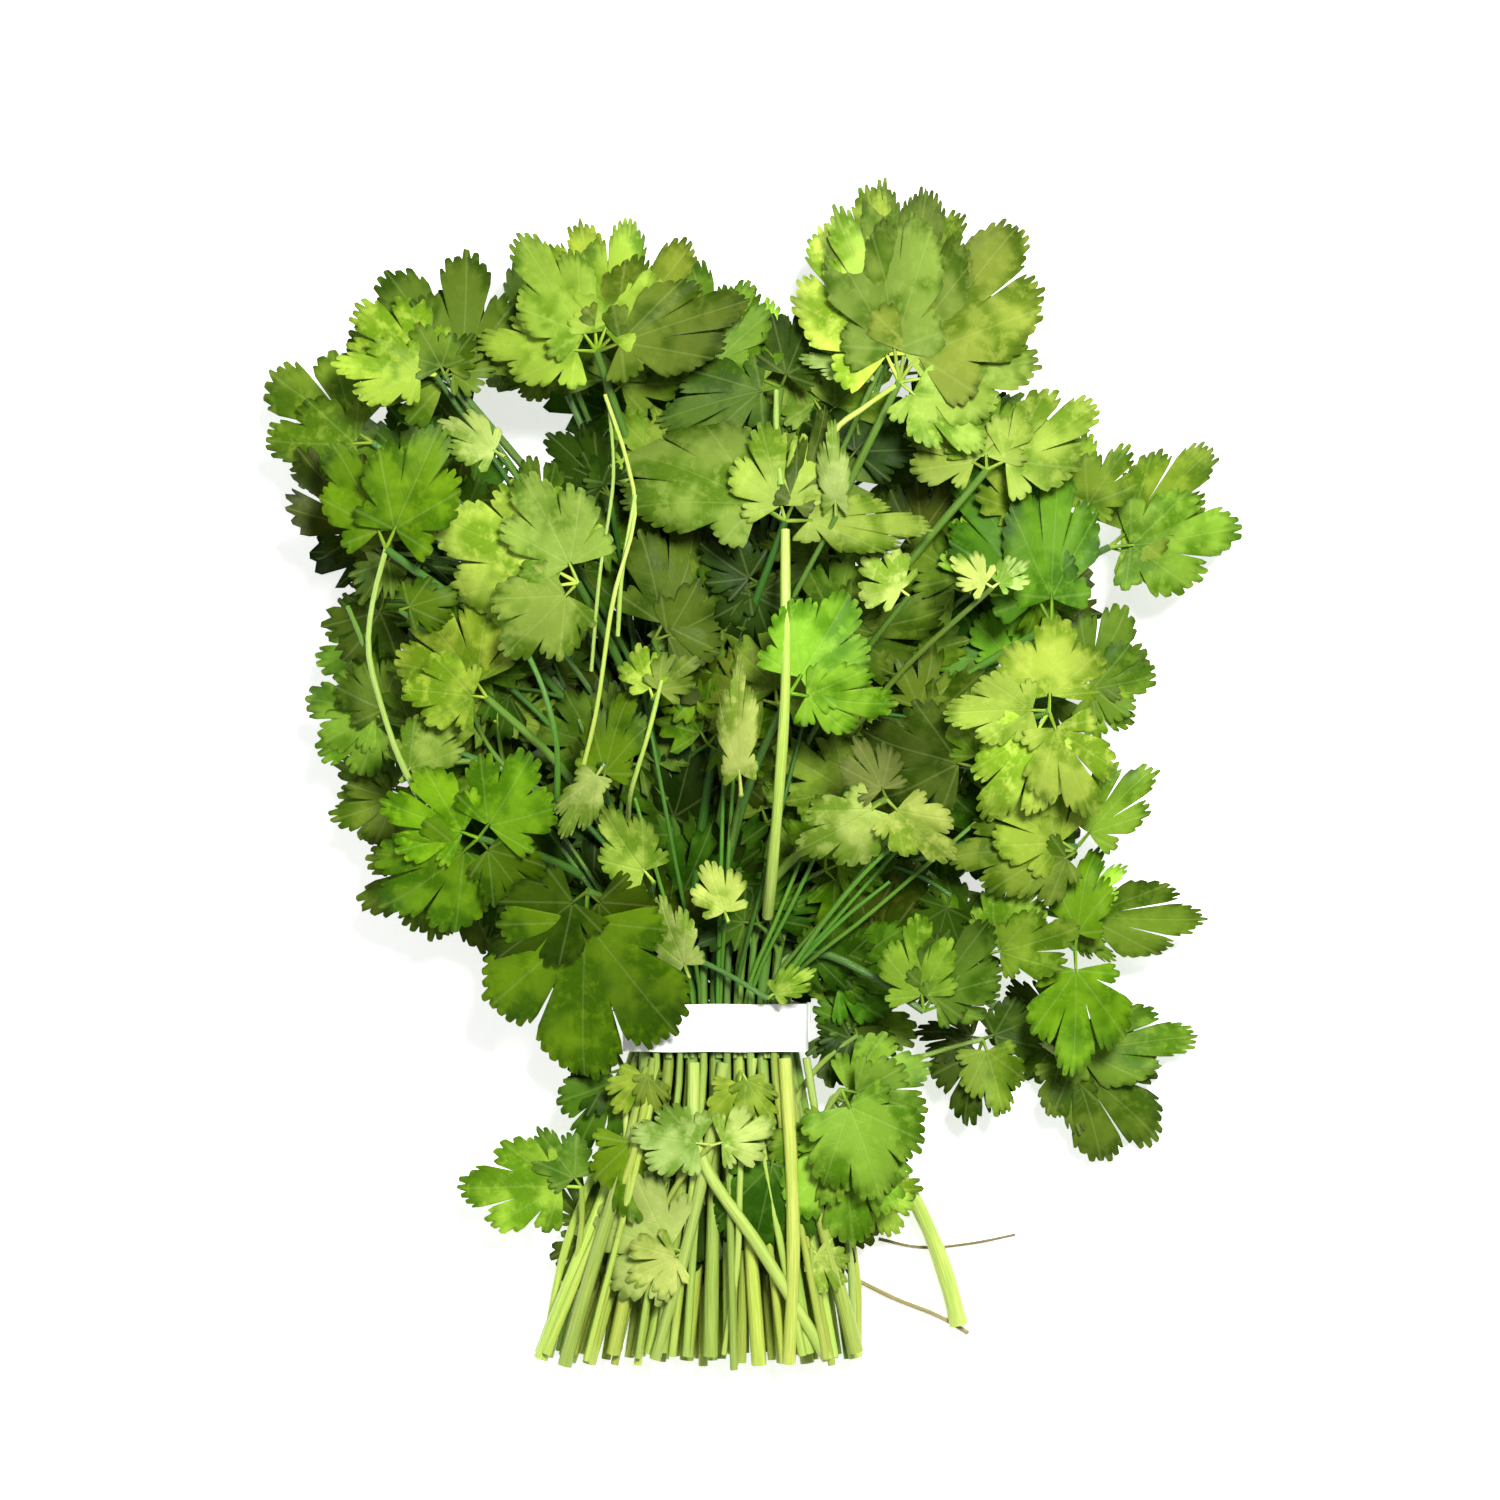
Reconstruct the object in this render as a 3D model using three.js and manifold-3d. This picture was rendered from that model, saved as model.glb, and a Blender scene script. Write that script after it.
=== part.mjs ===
// A tied bunch of fresh coriander, lying down. Millimetres, +Z up, leaf tips towards +Y.
// Every stem runs from its cut end, through the tie, to the hub of its own compound leaf.
import * as THREE from "three";
import { mergeVertices } from "three/addons/utils/BufferGeometryUtils.js";
import Module from "manifold-3d";

const wasm = await Module();
wasm.setup();

// --- Driving dimensions --------------------------------------------------------------------------
const STEM = { baseRadius: 1.7, tipRadius: 1.0, sides: 7, steps: 8 };
const TIE = { x: -8, y: -60, halfWidth: 22, height: 25, length: 11, thickness: 0.9, cornerRadius: 7 };
const PACK = { columns: 7, pitchX: 5.5, pitchZ: 5.5, lowest: 3.9 }; // the stems' grid inside the tie
const CUT = { x: -12, y: -137, spread: 2.05, lowest: 1.8, squeeze: 0.78, unevenness: 1.6 }; // the cut ends
const CROWN = { tail: 24, rise: 38, halfWidth: 120, flatten: 0.8, length: 200 }; // the leaves' dome
const BLADE = { thickness: 1.4, stalk: 0.16, stalkWidth: 1.8, middle: 0.42 }; // stalk: share of length
const DRAPE = { pitch: 5, roll: 8, droop: 0.0022, cup: 0.1, floor: 0.75 }; // how a leaflet lies
const HUB_RADIUS = 1.7;
const GAP = 0.6; // what touching pieces keep between them

// One side of a blade's lobed outline, from its tip round to its base, seen from where the blade meets its
// stalk: [angle from the midrib in degrees, share of the blade's length].
const LOBES = [
  [0, 1], [12, 0.94], [20, 0.86], [24, 0.64], [31, 0.82],
  [48, 0.9], [63, 0.78], [72, 0.52], [86, 0.6], [103, 0.28],
];

// Compound leaves with a stem of their own: name, hub x, y, level, tone, leaflets. The level is a
// share of the dome's height. A leaflet is [heading in degrees, length, width as a share of the usual].
// Heading 0 is +X and 90 is +Y.
const LEAVES = [
  ["crest_right", 34, 88, 0.98, "light",
    [[114, 42, 0.56], [98, 47, 0.44], [80, 47, 0.42], [55, 46, 0.6], [8, 33, 0.62], [-42, 25, 0.6]]],
  ["top_left_fan", -35, 95, 0.98, "light",
    [[177, 28, 0.55], [126, 33, 0.56], [94, 32, 0.55], [69, 32, 0.5], [44, 34, 0.56], [21, 37, 0.45]]],
  ["inner_upper", 7, 87, 0.8, "mid", [[156, 26, 0.6], [190, 29, 0.5], [66, 20, 0.7]]],
  ["centre", 8, 56, 1, "light", [[148, 46, 0.5], [106, 23, 0.8], [2, 34, 0.32], [64, 27, 0.3]]],
  ["right_upper", 54, 68, 0.88, "light", [[150, 21, 0.7], [26, 30, 0.6], [92, 20, 0.8]]],
  ["right_dark", 69, 33, 0.8, "deep", [[120, 42, 0.5], [92, 37, 0.48]]],
  ["right_outlier", 83, 51, 0.5, "olive", [[40, 35, 0.5], [4, 31, 0.66]]],
  ["right_edge", 76, 18, 0.6, "mid", [[54, 22, 0.8], [6, 18, 0.8], [-38, 15, 0.8]]],
  ["right_light", 68, 13, 1.02, "light", [[88, 22, 1], [176, 24, 0.6], [240, 29, 0.6], [-70, 26, 0.65]]],
  ["right_fern", 72, -34, 0.62, "mid", [[-3, 34, 0.42], [38, 19, 0.45], [-46, 17, 0.4]]],
  ["bottom_right", 71, -66, 0.4, "olive", [[-35, 32, 0.76], [5, 33, 0.46], [-74, 20, 0.6]]],
  ["right_mid", 40, -56, 1.1, "mid", [[58, 26, 0.65], [100, 23, 0.65], [20, 19, 0.6]]],
  ["yellow_cluster", 31, -7, 1.08, "yellow", [[216, 24, 0.6], [-48, 21, 0.65], [112, 16, 0.65]]],
  ["inner_bright", 9, 17, 1.04, "bright", [[58, 27, 0.7], [-10, 24, 0.6]]],
  ["left_round", -39, 42, 0.98, "light",
    [[150, 36, 0.75], [112, 28, 0.75], [187, 30, 0.55], [226, 24, 0.8]]],
  ["left_bright", -83, 50, 0.98, "bright", [[112, 28, 0.6], [66, 31, 0.62]]],
  ["left_edge", -87, 75, 0.58, "olive", [[146, 30, 0.85], [183, 25, 0.75]]],
  ["top_left_olive", -66, 86, 0.76, "olive", [[116, 34, 0.78], [88, 33, 0.74], [152, 31, 0.7]]],
  ["left_mid", -60, 16, 0.9, "mid", [[122, 27, 0.8], [172, 20, 0.7]]],
  ["left_side", -83, 11, 0.6, "mid", [[162, 21, 0.85], [118, 18, 0.8], [206, 19, 0.85]]],
  ["left_big", -62, -16, 1, "bright", [[160, 24, 0.8], [52, 23, 0.9], [222, 28, 0.75], [-50, 21, 0.7]]],
  ["low_left", -37, -28, 1.16, "bright", [[266, 44, 0.85], [218, 27, 0.7], [316, 22, 0.8]]],
  ["low_left_dark", -50, -34, 0.5, "deep", [[210, 15, 0.8], [262, 20, 0.8]]],
  ["under_left", -64, 50, 0.07, "deep", [[162, 34, 0.9], [122, 34, 0.9], [216, 28, 0.9]]],
  ["under_top", -12, 74, 0.07, "mid", [[122, 32, 0.9], [60, 34, 0.9], [0, 24, 0.9]]],
  ["under_right", 48, 56, 0.07, "mid", [[102, 30, 0.9], [45, 34, 0.9], [-12, 30, 0.9]]],
  ["under_low_left", -50, -2, 0.08, "deep", [[170, 32, 0.9], [108, 26, 0.9], [232, 26, 0.9]]],
  ["under_low_right", 42, -4, 0.08, "deep", [[10, 34, 0.9], [72, 26, 0.9], [-52, 28, 0.9]]],
];

// Small leaves that sprout from the side of the bundle below the tie. Their height is given, not a level.
const SIDE_LEAVES = [
  ["below_left", -39, -97, 19, "mid", [[177, 29, 0.65], [125, 17, 0.65]]],
  ["below_right", 21, -74, 27, "mid", [[-12, 21, 0.8], [-64, 27, 0.8]]],
];

// A bent stem that has slipped out of the tie: its route, from the side of the bundle to its cut end.
const STRAY = {
  route: [[31.5, -89, 12], [37, -98, 9], [42.3, -109, 5.2], [46.5, -121, 3], [48.8, -130, 2.3]],
  thin: 1.5,
  thick: 2.2,
};

const TONES = {
  light: 0xa3cc43,
  yellow: 0xc2dc5c,
  mid: 0x7cae2c,
  bright: 0x5fa524,
  olive: 0x6f8f2c,
  deep: 0x3f7a17,
};
const STEM_COLOUR = 0xb4d45a;
const TIE_COLOUR = 0xf4f4ee;

// --- Helpers -------------------------------------------------------------------------------------
const radians = THREE.MathUtils.degToRad;
const lerp = THREE.MathUtils.lerp;

function material(color, roughness) {
  return new THREE.MeshStandardMaterial({ color, roughness, metalness: 0 });
}

function solidOf(geometry) {
  const bare = geometry.index ? geometry.toNonIndexed() : geometry.clone();
  bare.deleteAttribute("normal");
  bare.deleteAttribute("uv");
  const merged = mergeVertices(bare, 1e-4);
  return new wasm.Manifold(new wasm.Mesh({
    numProp: 3,
    vertProperties: merged.attributes.position.array,
    triVerts: new Uint32Array(merged.index.array),
  }));
}

function geometryOf(solid) {
  const mesh = solid.getMesh();
  const geometry = new THREE.BufferGeometry();
  geometry.setAttribute("position", new THREE.BufferAttribute(mesh.vertProperties, 3));
  geometry.setIndex(new THREE.BufferAttribute(mesh.triVerts, 1));
  geometry.computeVertexNormals();
  return geometry;
}

function named(name, geometry, finish) {
  const mesh = new THREE.Mesh(geometry, finish);
  mesh.name = name;
  return mesh;
}

// Height of the leafy dome over a point: low over the tie, highest over the middle of the crown.
function domeHeight(x, y) {
  const along = THREE.MathUtils.clamp((y - TIE.y) / CROWN.length, 0, 1);
  const across = 1 - CROWN.flatten * (x / CROWN.halfWidth) ** 2;
  return CROWN.tail + CROWN.rise * Math.max(0, Math.sin(Math.PI * along)) * Math.max(0, across);
}

// A scatter between -1 and 1 that is the same on every run.
function scatter(index, part) {
  return Math.sin(2.4 * index + 1.7 * part + 0.6);
}

// --- Leaves --------------------------------------------------------------------------------------
// A leaflet's outline from its hub at the origin, midrib along +X: the lobed blade, then its stalk.
function leafletOutline(length, width) {
  const side = LOBES.map(([angle, share]) => {
    const reach = share * (1 - BLADE.stalk);
    const across = reach * Math.sin(radians(angle)) * width;
    return new THREE.Vector2(BLADE.stalk + reach * Math.cos(radians(angle)), across);
  });
  side.push(new THREE.Vector2(0, BLADE.stalkWidth / 2 / length));
  const mirrored = side.slice(1).reverse().map((point) => new THREE.Vector2(point.x, -point.y));
  return [...side, ...mirrored].map((point) => point.multiplyScalar(length));
}

// A flat leaflet, thickest at its middle and thin at its rim.
function leafletGeometry(length, width) {
  const outline = leafletOutline(length, width);
  const middle = length * (BLADE.stalk + BLADE.middle * (1 - BLADE.stalk));
  const leaflet = new THREE.SphereGeometry(1, outline.length, 2);
  leaflet.deleteAttribute("normal");
  leaflet.deleteAttribute("uv");
  const position = leaflet.getAttribute("position");
  for (let i = 0; i < position.count; i += 1) {
    const radial = Math.hypot(position.getX(i), position.getZ(i));
    const turn = Math.atan2(position.getZ(i), -position.getX(i)) / (2 * Math.PI);
    const rim = outline[(Math.round(turn * outline.length) + outline.length) % outline.length];
    const height = position.getY(i) * BLADE.thickness / 2;
    position.setXYZ(i, lerp(middle, rim.x, radial), rim.y * radial, height);
  }
  return leaflet;
}

// Lays a flat leaflet over the dome: it turns to its heading, tilts, droops and stays above the surface.
function drape(geometry, hub, level, heading, length, pitch, roll) {
  const position = geometry.getAttribute("position");
  const turn = radians(heading);
  const climb = Math.tan(radians(pitch));
  const slope = Math.tan(radians(roll));
  for (let i = 0; i < position.count; i += 1) {
    const along = position.getX(i);
    const across = position.getY(i);
    const x = hub.x + along * Math.cos(turn) - across * Math.sin(turn);
    const y = hub.y + along * Math.sin(turn) + across * Math.cos(turn);
    const lift = level * (domeHeight(x, y) - domeHeight(hub.x, hub.y));
    const bend = DRAPE.cup * Math.abs(across) - DRAPE.droop * along * along;
    const tilt = climb * along + slope * across * Math.min(1, along / length);
    position.setXYZ(i, x, y, Math.max(hub.z + lift + tilt + bend, DRAPE.floor) + position.getZ(i));
  }
}

function leafGeometry(hub, level, leaflets, index) {
  const height = Math.max(hub.z, HUB_RADIUS);
  let whole = solidOf(new THREE.SphereGeometry(HUB_RADIUS, 6, 4).translate(hub.x, hub.y, height));
  leaflets.forEach(([heading, length, width = 1], part) => {
    const leaflet = leafletGeometry(length, width);
    const pitch = DRAPE.pitch * (part % 2 ? 1 : -0.4);
    // All of a leaf's leaflets roll the same way, so each lies over the edge of the next, as shingles do.
    const roll = DRAPE.roll * (index % 2 ? 1 : -1) * (1 + 0.3 * scatter(index, part));
    drape(leaflet, hub, level, heading, length, pitch, roll);
    whole = whole.add(solidOf(leaflet));
  });
  // Leaflets that lean on each other can close in a small pocket: only the outer skin is kept.
  const [outer] = whole.decompose().sort((a, b) => b.volume() - a.volume());
  return geometryOf(outer);
}

// --- Stems ---------------------------------------------------------------------------------------
// Slots in the tie: leaves are ranked by level into rows, lowest first, and a row goes from left to right.
function slotsOf(leaves) {
  const bearing = ([, x, y]) => Math.atan2(x - TIE.x, y - TIE.y);
  const ranked = leaves.map((leaf, index) => ({ leaf, index })).sort((a, b) => a.leaf[3] - b.leaf[3]);
  const slots = [];
  for (let start = 0; start < ranked.length; start += PACK.columns) {
    const row = start / PACK.columns;
    const mates = ranked.slice(start, start + PACK.columns);
    mates.sort((a, b) => bearing(a.leaf) - bearing(b.leaf));
    mates.forEach(({ index }, column) => {
      const offset = (column - (PACK.columns - 1) / 2) * PACK.pitchX;
      slots[index] = { offset, height: PACK.lowest + row * PACK.pitchZ, row };
    });
  }
  return slots;
}

function stemPath(hub, slot, index) {
  const inTie = (y) => new THREE.Vector3(TIE.x + slot.offset, y, slot.height);
  const stagger = (slot.row % 2 ? 0.5 : 0) * PACK.pitchX;
  const cut = new THREE.Vector3(
    CUT.x + (slot.offset + stagger - PACK.pitchX / 4) * CUT.spread,
    CUT.y + CUT.unevenness * scatter(index, 0),
    CUT.lowest + (slot.height - PACK.lowest) * CUT.squeeze,
  );
  const out = inTie(TIE.y + TIE.length);
  const reach = Math.hypot(hub.x - out.x, hub.y - out.y);
  const end = new THREE.Vector3(hub.x, hub.y, Math.max(hub.z, HUB_RADIUS));
  const control = new THREE.Vector3(out.x, out.y + reach * 0.5, lerp(out.z, end.z, 0.3));
  const rise = new THREE.QuadraticBezierCurve3(out, control, end);
  const stop = 1 - (HUB_RADIUS + GAP) / rise.getLength();
  const points = [cut, inTie(TIE.y - TIE.length), inTie(TIE.y), out];
  for (const share of [0.25, 0.5, 0.75, 1]) points.push(rise.getPointAt(share * stop));
  return new THREE.CatmullRomCurve3(points, false, "centripetal");
}

// A round tube of radius 1 along the path, whose sections are then scaled about their own centres.
function taperedTube(path, firstRadius, lastRadius, steps) {
  const circle = new THREE.EllipseCurve(0, 0, 1, 1, 0, 2 * Math.PI);
  const section = new THREE.Shape(circle.getPoints(STEM.sides).slice(0, -1));
  const tube = new THREE.ExtrudeGeometry(section, { steps, extrudePath: path, bevelEnabled: false });
  const centres = path.getSpacedPoints(steps);
  const position = tube.getAttribute("position");
  const vertex = new THREE.Vector3();
  for (let i = 0; i < position.count; i += 1) {
    vertex.fromBufferAttribute(position, i);
    const distances = centres.map((centre) => Math.abs(centre.distanceTo(vertex) - 1));
    const station = distances.indexOf(Math.min(...distances));
    const radius = lerp(firstRadius, lastRadius, station / steps);
    vertex.sub(centres[station]).multiplyScalar(radius).add(centres[station]);
    position.setXYZ(i, vertex.x, vertex.y, vertex.z);
  }
  return tube;
}

// --- Tie -----------------------------------------------------------------------------------------
function roundedOutline(Outline, halfWidth, bottom, top, radius) {
  const outline = new Outline();
  const corners = [
    [halfWidth - radius, bottom + radius, -90],
    [halfWidth - radius, top - radius, 0],
    [radius - halfWidth, top - radius, 90],
    [radius - halfWidth, bottom + radius, 180],
  ];
  for (const [x, z, from] of corners) {
    outline.absarc(x, z, radius, radians(from), radians(from + 90), false);
  }
  outline.closePath();
  return outline;
}

// A closed ring round all the stems.
function tieGeometry() {
  const { halfWidth, height, length, thickness, cornerRadius } = TIE;
  const ring = roundedOutline(THREE.Shape, halfWidth, 0, height, cornerRadius);
  const inside = [halfWidth - thickness, thickness, height - thickness, cornerRadius - thickness];
  ring.holes.push(roundedOutline(THREE.Path, ...inside));
  const tie = new THREE.ExtrudeGeometry(ring, { depth: length, bevelEnabled: false, curveSegments: 5 });
  return tie.rotateX(Math.PI / 2).translate(TIE.x, TIE.y + length / 2, 0);
}

// --- Assembly ------------------------------------------------------------------------------------
const bunch = new THREE.Group();
const stemFinish = material(STEM_COLOUR, 0.5);
const finishOf = ([tone, colour]) => [tone, material(colour, 0.55)];
const leafFinishes = Object.fromEntries(Object.entries(TONES).map(finishOf));
const slots = slotsOf(LEAVES);

LEAVES.forEach(([name, x, y, level, tone, leaflets], index) => {
  const hub = new THREE.Vector3(x, y, level * domeHeight(x, y));
  const path = stemPath(hub, slots[index], index);
  const stem = taperedTube(path, STEM.baseRadius, STEM.tipRadius, STEM.steps);
  bunch.add(named(`stem_${name}`, stem, stemFinish));
  bunch.add(named(`leaf_${name}`, leafGeometry(hub, level, leaflets, index), leafFinishes[tone]));
});

SIDE_LEAVES.forEach(([name, x, y, z, tone, leaflets], index) => {
  const hub = new THREE.Vector3(x, y, z);
  bunch.add(named(`leaf_${name}`, leafGeometry(hub, 1, leaflets, index), leafFinishes[tone]));
});

const strayRoute = STRAY.route.map((point) => new THREE.Vector3(...point));
const strayPath = new THREE.CatmullRomCurve3(strayRoute, false, "centripetal");
bunch.add(named("stem_stray", taperedTube(strayPath, STRAY.thin, STRAY.thick, 6), stemFinish));
bunch.add(named("tie_band", tieGeometry(), material(TIE_COLOUR, 0.6)));

// The origin is under the middle of the bunch, on the surface that it lies on.
const extent = new THREE.Box3().setFromObject(bunch);
const middle = extent.getCenter(new THREE.Vector3());
bunch.position.set(-middle.x, -middle.y, -extent.min.z);

export default bunch;
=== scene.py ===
"""A tied bunch of fresh coriander lying on its side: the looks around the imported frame.

Places and sizes are in the layout's millimetres, x to the right and y along the stems from the cut ends to
the leaf tips, as in the frame's own model. The meshes are shifted to the frame and turned into metres when
they are made.
"""
import math
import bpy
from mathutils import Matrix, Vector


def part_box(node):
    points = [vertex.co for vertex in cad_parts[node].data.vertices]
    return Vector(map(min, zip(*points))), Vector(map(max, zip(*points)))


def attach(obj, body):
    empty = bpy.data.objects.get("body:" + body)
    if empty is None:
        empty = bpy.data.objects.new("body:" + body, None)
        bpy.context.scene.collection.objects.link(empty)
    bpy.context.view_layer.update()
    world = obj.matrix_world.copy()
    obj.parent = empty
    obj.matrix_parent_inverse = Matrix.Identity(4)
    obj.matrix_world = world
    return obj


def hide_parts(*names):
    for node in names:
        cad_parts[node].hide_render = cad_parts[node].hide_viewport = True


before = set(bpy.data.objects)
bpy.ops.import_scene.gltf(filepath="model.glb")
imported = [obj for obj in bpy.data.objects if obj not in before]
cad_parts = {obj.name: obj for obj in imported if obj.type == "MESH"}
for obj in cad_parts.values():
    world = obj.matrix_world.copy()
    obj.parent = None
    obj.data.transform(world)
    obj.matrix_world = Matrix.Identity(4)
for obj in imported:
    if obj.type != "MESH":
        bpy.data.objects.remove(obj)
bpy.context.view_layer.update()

from types import SimpleNamespace

import bpy
import numpy as np

MM = 0.001

# --- Driving dimensions, in millimetres ---
STEM = SimpleNamespace(base_radius=1.7, tip_radius=0.85, sides=10, steps=30)
TIE = SimpleNamespace(x=-8, y=-60, half_width=22, height=25, length=11, corner=7, thickness=0.45, overlap=16)
PACK = SimpleNamespace(columns=7, pitch_x=5.5, pitch_z=5.5, lowest=3.9)
CUT = SimpleNamespace(x=-12, y=-137, spread=2.05, lowest=1.8, squeeze=0.78, unevenness=1.6)
CROWN = SimpleNamespace(tail=24, rise=38, half_width=120, flatten=0.8, length=200)
PETIOLULE = 0.16  # share of a leaflet's length that is its stalk
DROOP = 0.0022  # how far a leaflet bends down along its midrib, for each square millimetre of its length
CUP = 0.1  # how steeply a leaflet's halves rise from its midrib
SHINGLE = 8  # degrees that a leaf's leaflets all roll the same way, each over the next one's edge
TILT = 5  # degrees that a leaf's leaflets tilt up or down in turn
FLOOR_GAP = 0.55  # lowest that the middle of a leaflet's thickness lies
HUB_RADIUS = 1.7  # lowest that a hub lies
# The stem that has slipped out at the right, from the bundle to its cut end.
STRAY = SimpleNamespace(
    base_radius=1.5, tip_radius=2.2, steps=12,
    route=[(31.5, -89, 12), (37, -98, 9), (42.3, -109, 5.2), (46.5, -121, 3), (48.8, -130, 2.3)],
)

# A leaflet's lobes on one side, from its tip to its base: half their width in degrees, and reach as a
# share of the blade's length; then the reach of the slit after each. The last is where the blade runs
# into its stalk.
LOBES = [(24, 1.0, 0.56), (24, 0.92, 0.44), (16, 0.66, 0.24)]
LOBE_BEARINGS = np.radians([-88, -48, 0, 48, 88])
LOBE_ROUNDING = 0.17  # how far a lobe's rim falls back from its middle to its edge, as a share of its reach
# Half a leaflet's thickness at its rim, how much more it is at its base, and how far its rib hangs there.
BLADE = SimpleNamespace(rim=0.16, swell=0.06, rib=0.22)
# How finely a leaflet is made: width and depth of its teeth in millimetres, and rows from base to rim.
FINE = SimpleNamespace(pitch=3.2, depth=1.7, rows=[0.05, 0.24, 0.44, 0.62, 0.78, 0.9, 1.0])
PLAIN = SimpleNamespace(pitch=5.0, depth=2.2, rows=[0.05, 0.3, 0.55, 0.8, 1.0])
# Shares by which a leaflet's slits may reach nearer to its base, and the share on ferny leaves.
CUTS = [0.0, 0.1, 0.22, 0.4]
FERNY_CUT = 0.35
# How much lobes and teeth vary, as shares of the usual.
VARIETY = SimpleNamespace(
    spread=(0.84, 1.14), reach=(0.88, 1.07), tooth=(0.97, 1.03), slit=(0.85, 1.15), dip=(0.8, 1.2),
)
# A leaflet's own relief: how far its lobes lift and its tip rises, and how deep its rim ruffles, as shares of
# its length; how its lobes arch, for each square millimetre across; and what is added to CUP and DROOP.
RELIEF = SimpleNamespace(
    lift=(-0.09, 0.07), arch=(-0.035, 0.014), ruffle=0.018, waves=(5, 9), phase=(0, 6.3),
    tip=(-0.2, 0.06), fold=(-0.05, 0.12), bend=(-0.0015, 0.004),
)

# Leaf tones, as sRGB bytes, and the frame's material slot for those that it doesn't have.
TONES = {
    "light": (162, 188, 72),
    "yellow": (190, 211, 100),
    "pale": (193, 216, 112),
    "fresh": (150, 177, 56),
    "mid": (125, 162, 46),
    "lime": (142, 190, 46),
    "bright": (114, 156, 20),
    "olive": (108, 136, 38),
    "deep": (72, 112, 20),
    "brown": (80, 98, 22),
    # shade is painted shade: a near-black green for leaves put in the crown's dark hollows.
    "shade": (46, 70, 14),
}
SLOTS = {"pale": "yellow", "fresh": "light", "lime": "bright", "brown": "olive", "shade": "deep"}
# A stem's colour towards its cut end and towards its leaf, and between which places from the tie it changes.
# The leaf end's darker green is partly the stem's own green and partly painted shade from the crown above the
# tie.
STEM_TONES = {
    "fresh": ((182, 199, 88), (60, 114, 30)),
    "pale": ((190, 207, 102), (180, 202, 94)),
    "green": ((128, 166, 58), (90, 145, 40)),
    "dry": ((150, 136, 88), (128, 120, 70)),
}
GREENING_AND_SHADE = (-24, 12)
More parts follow.
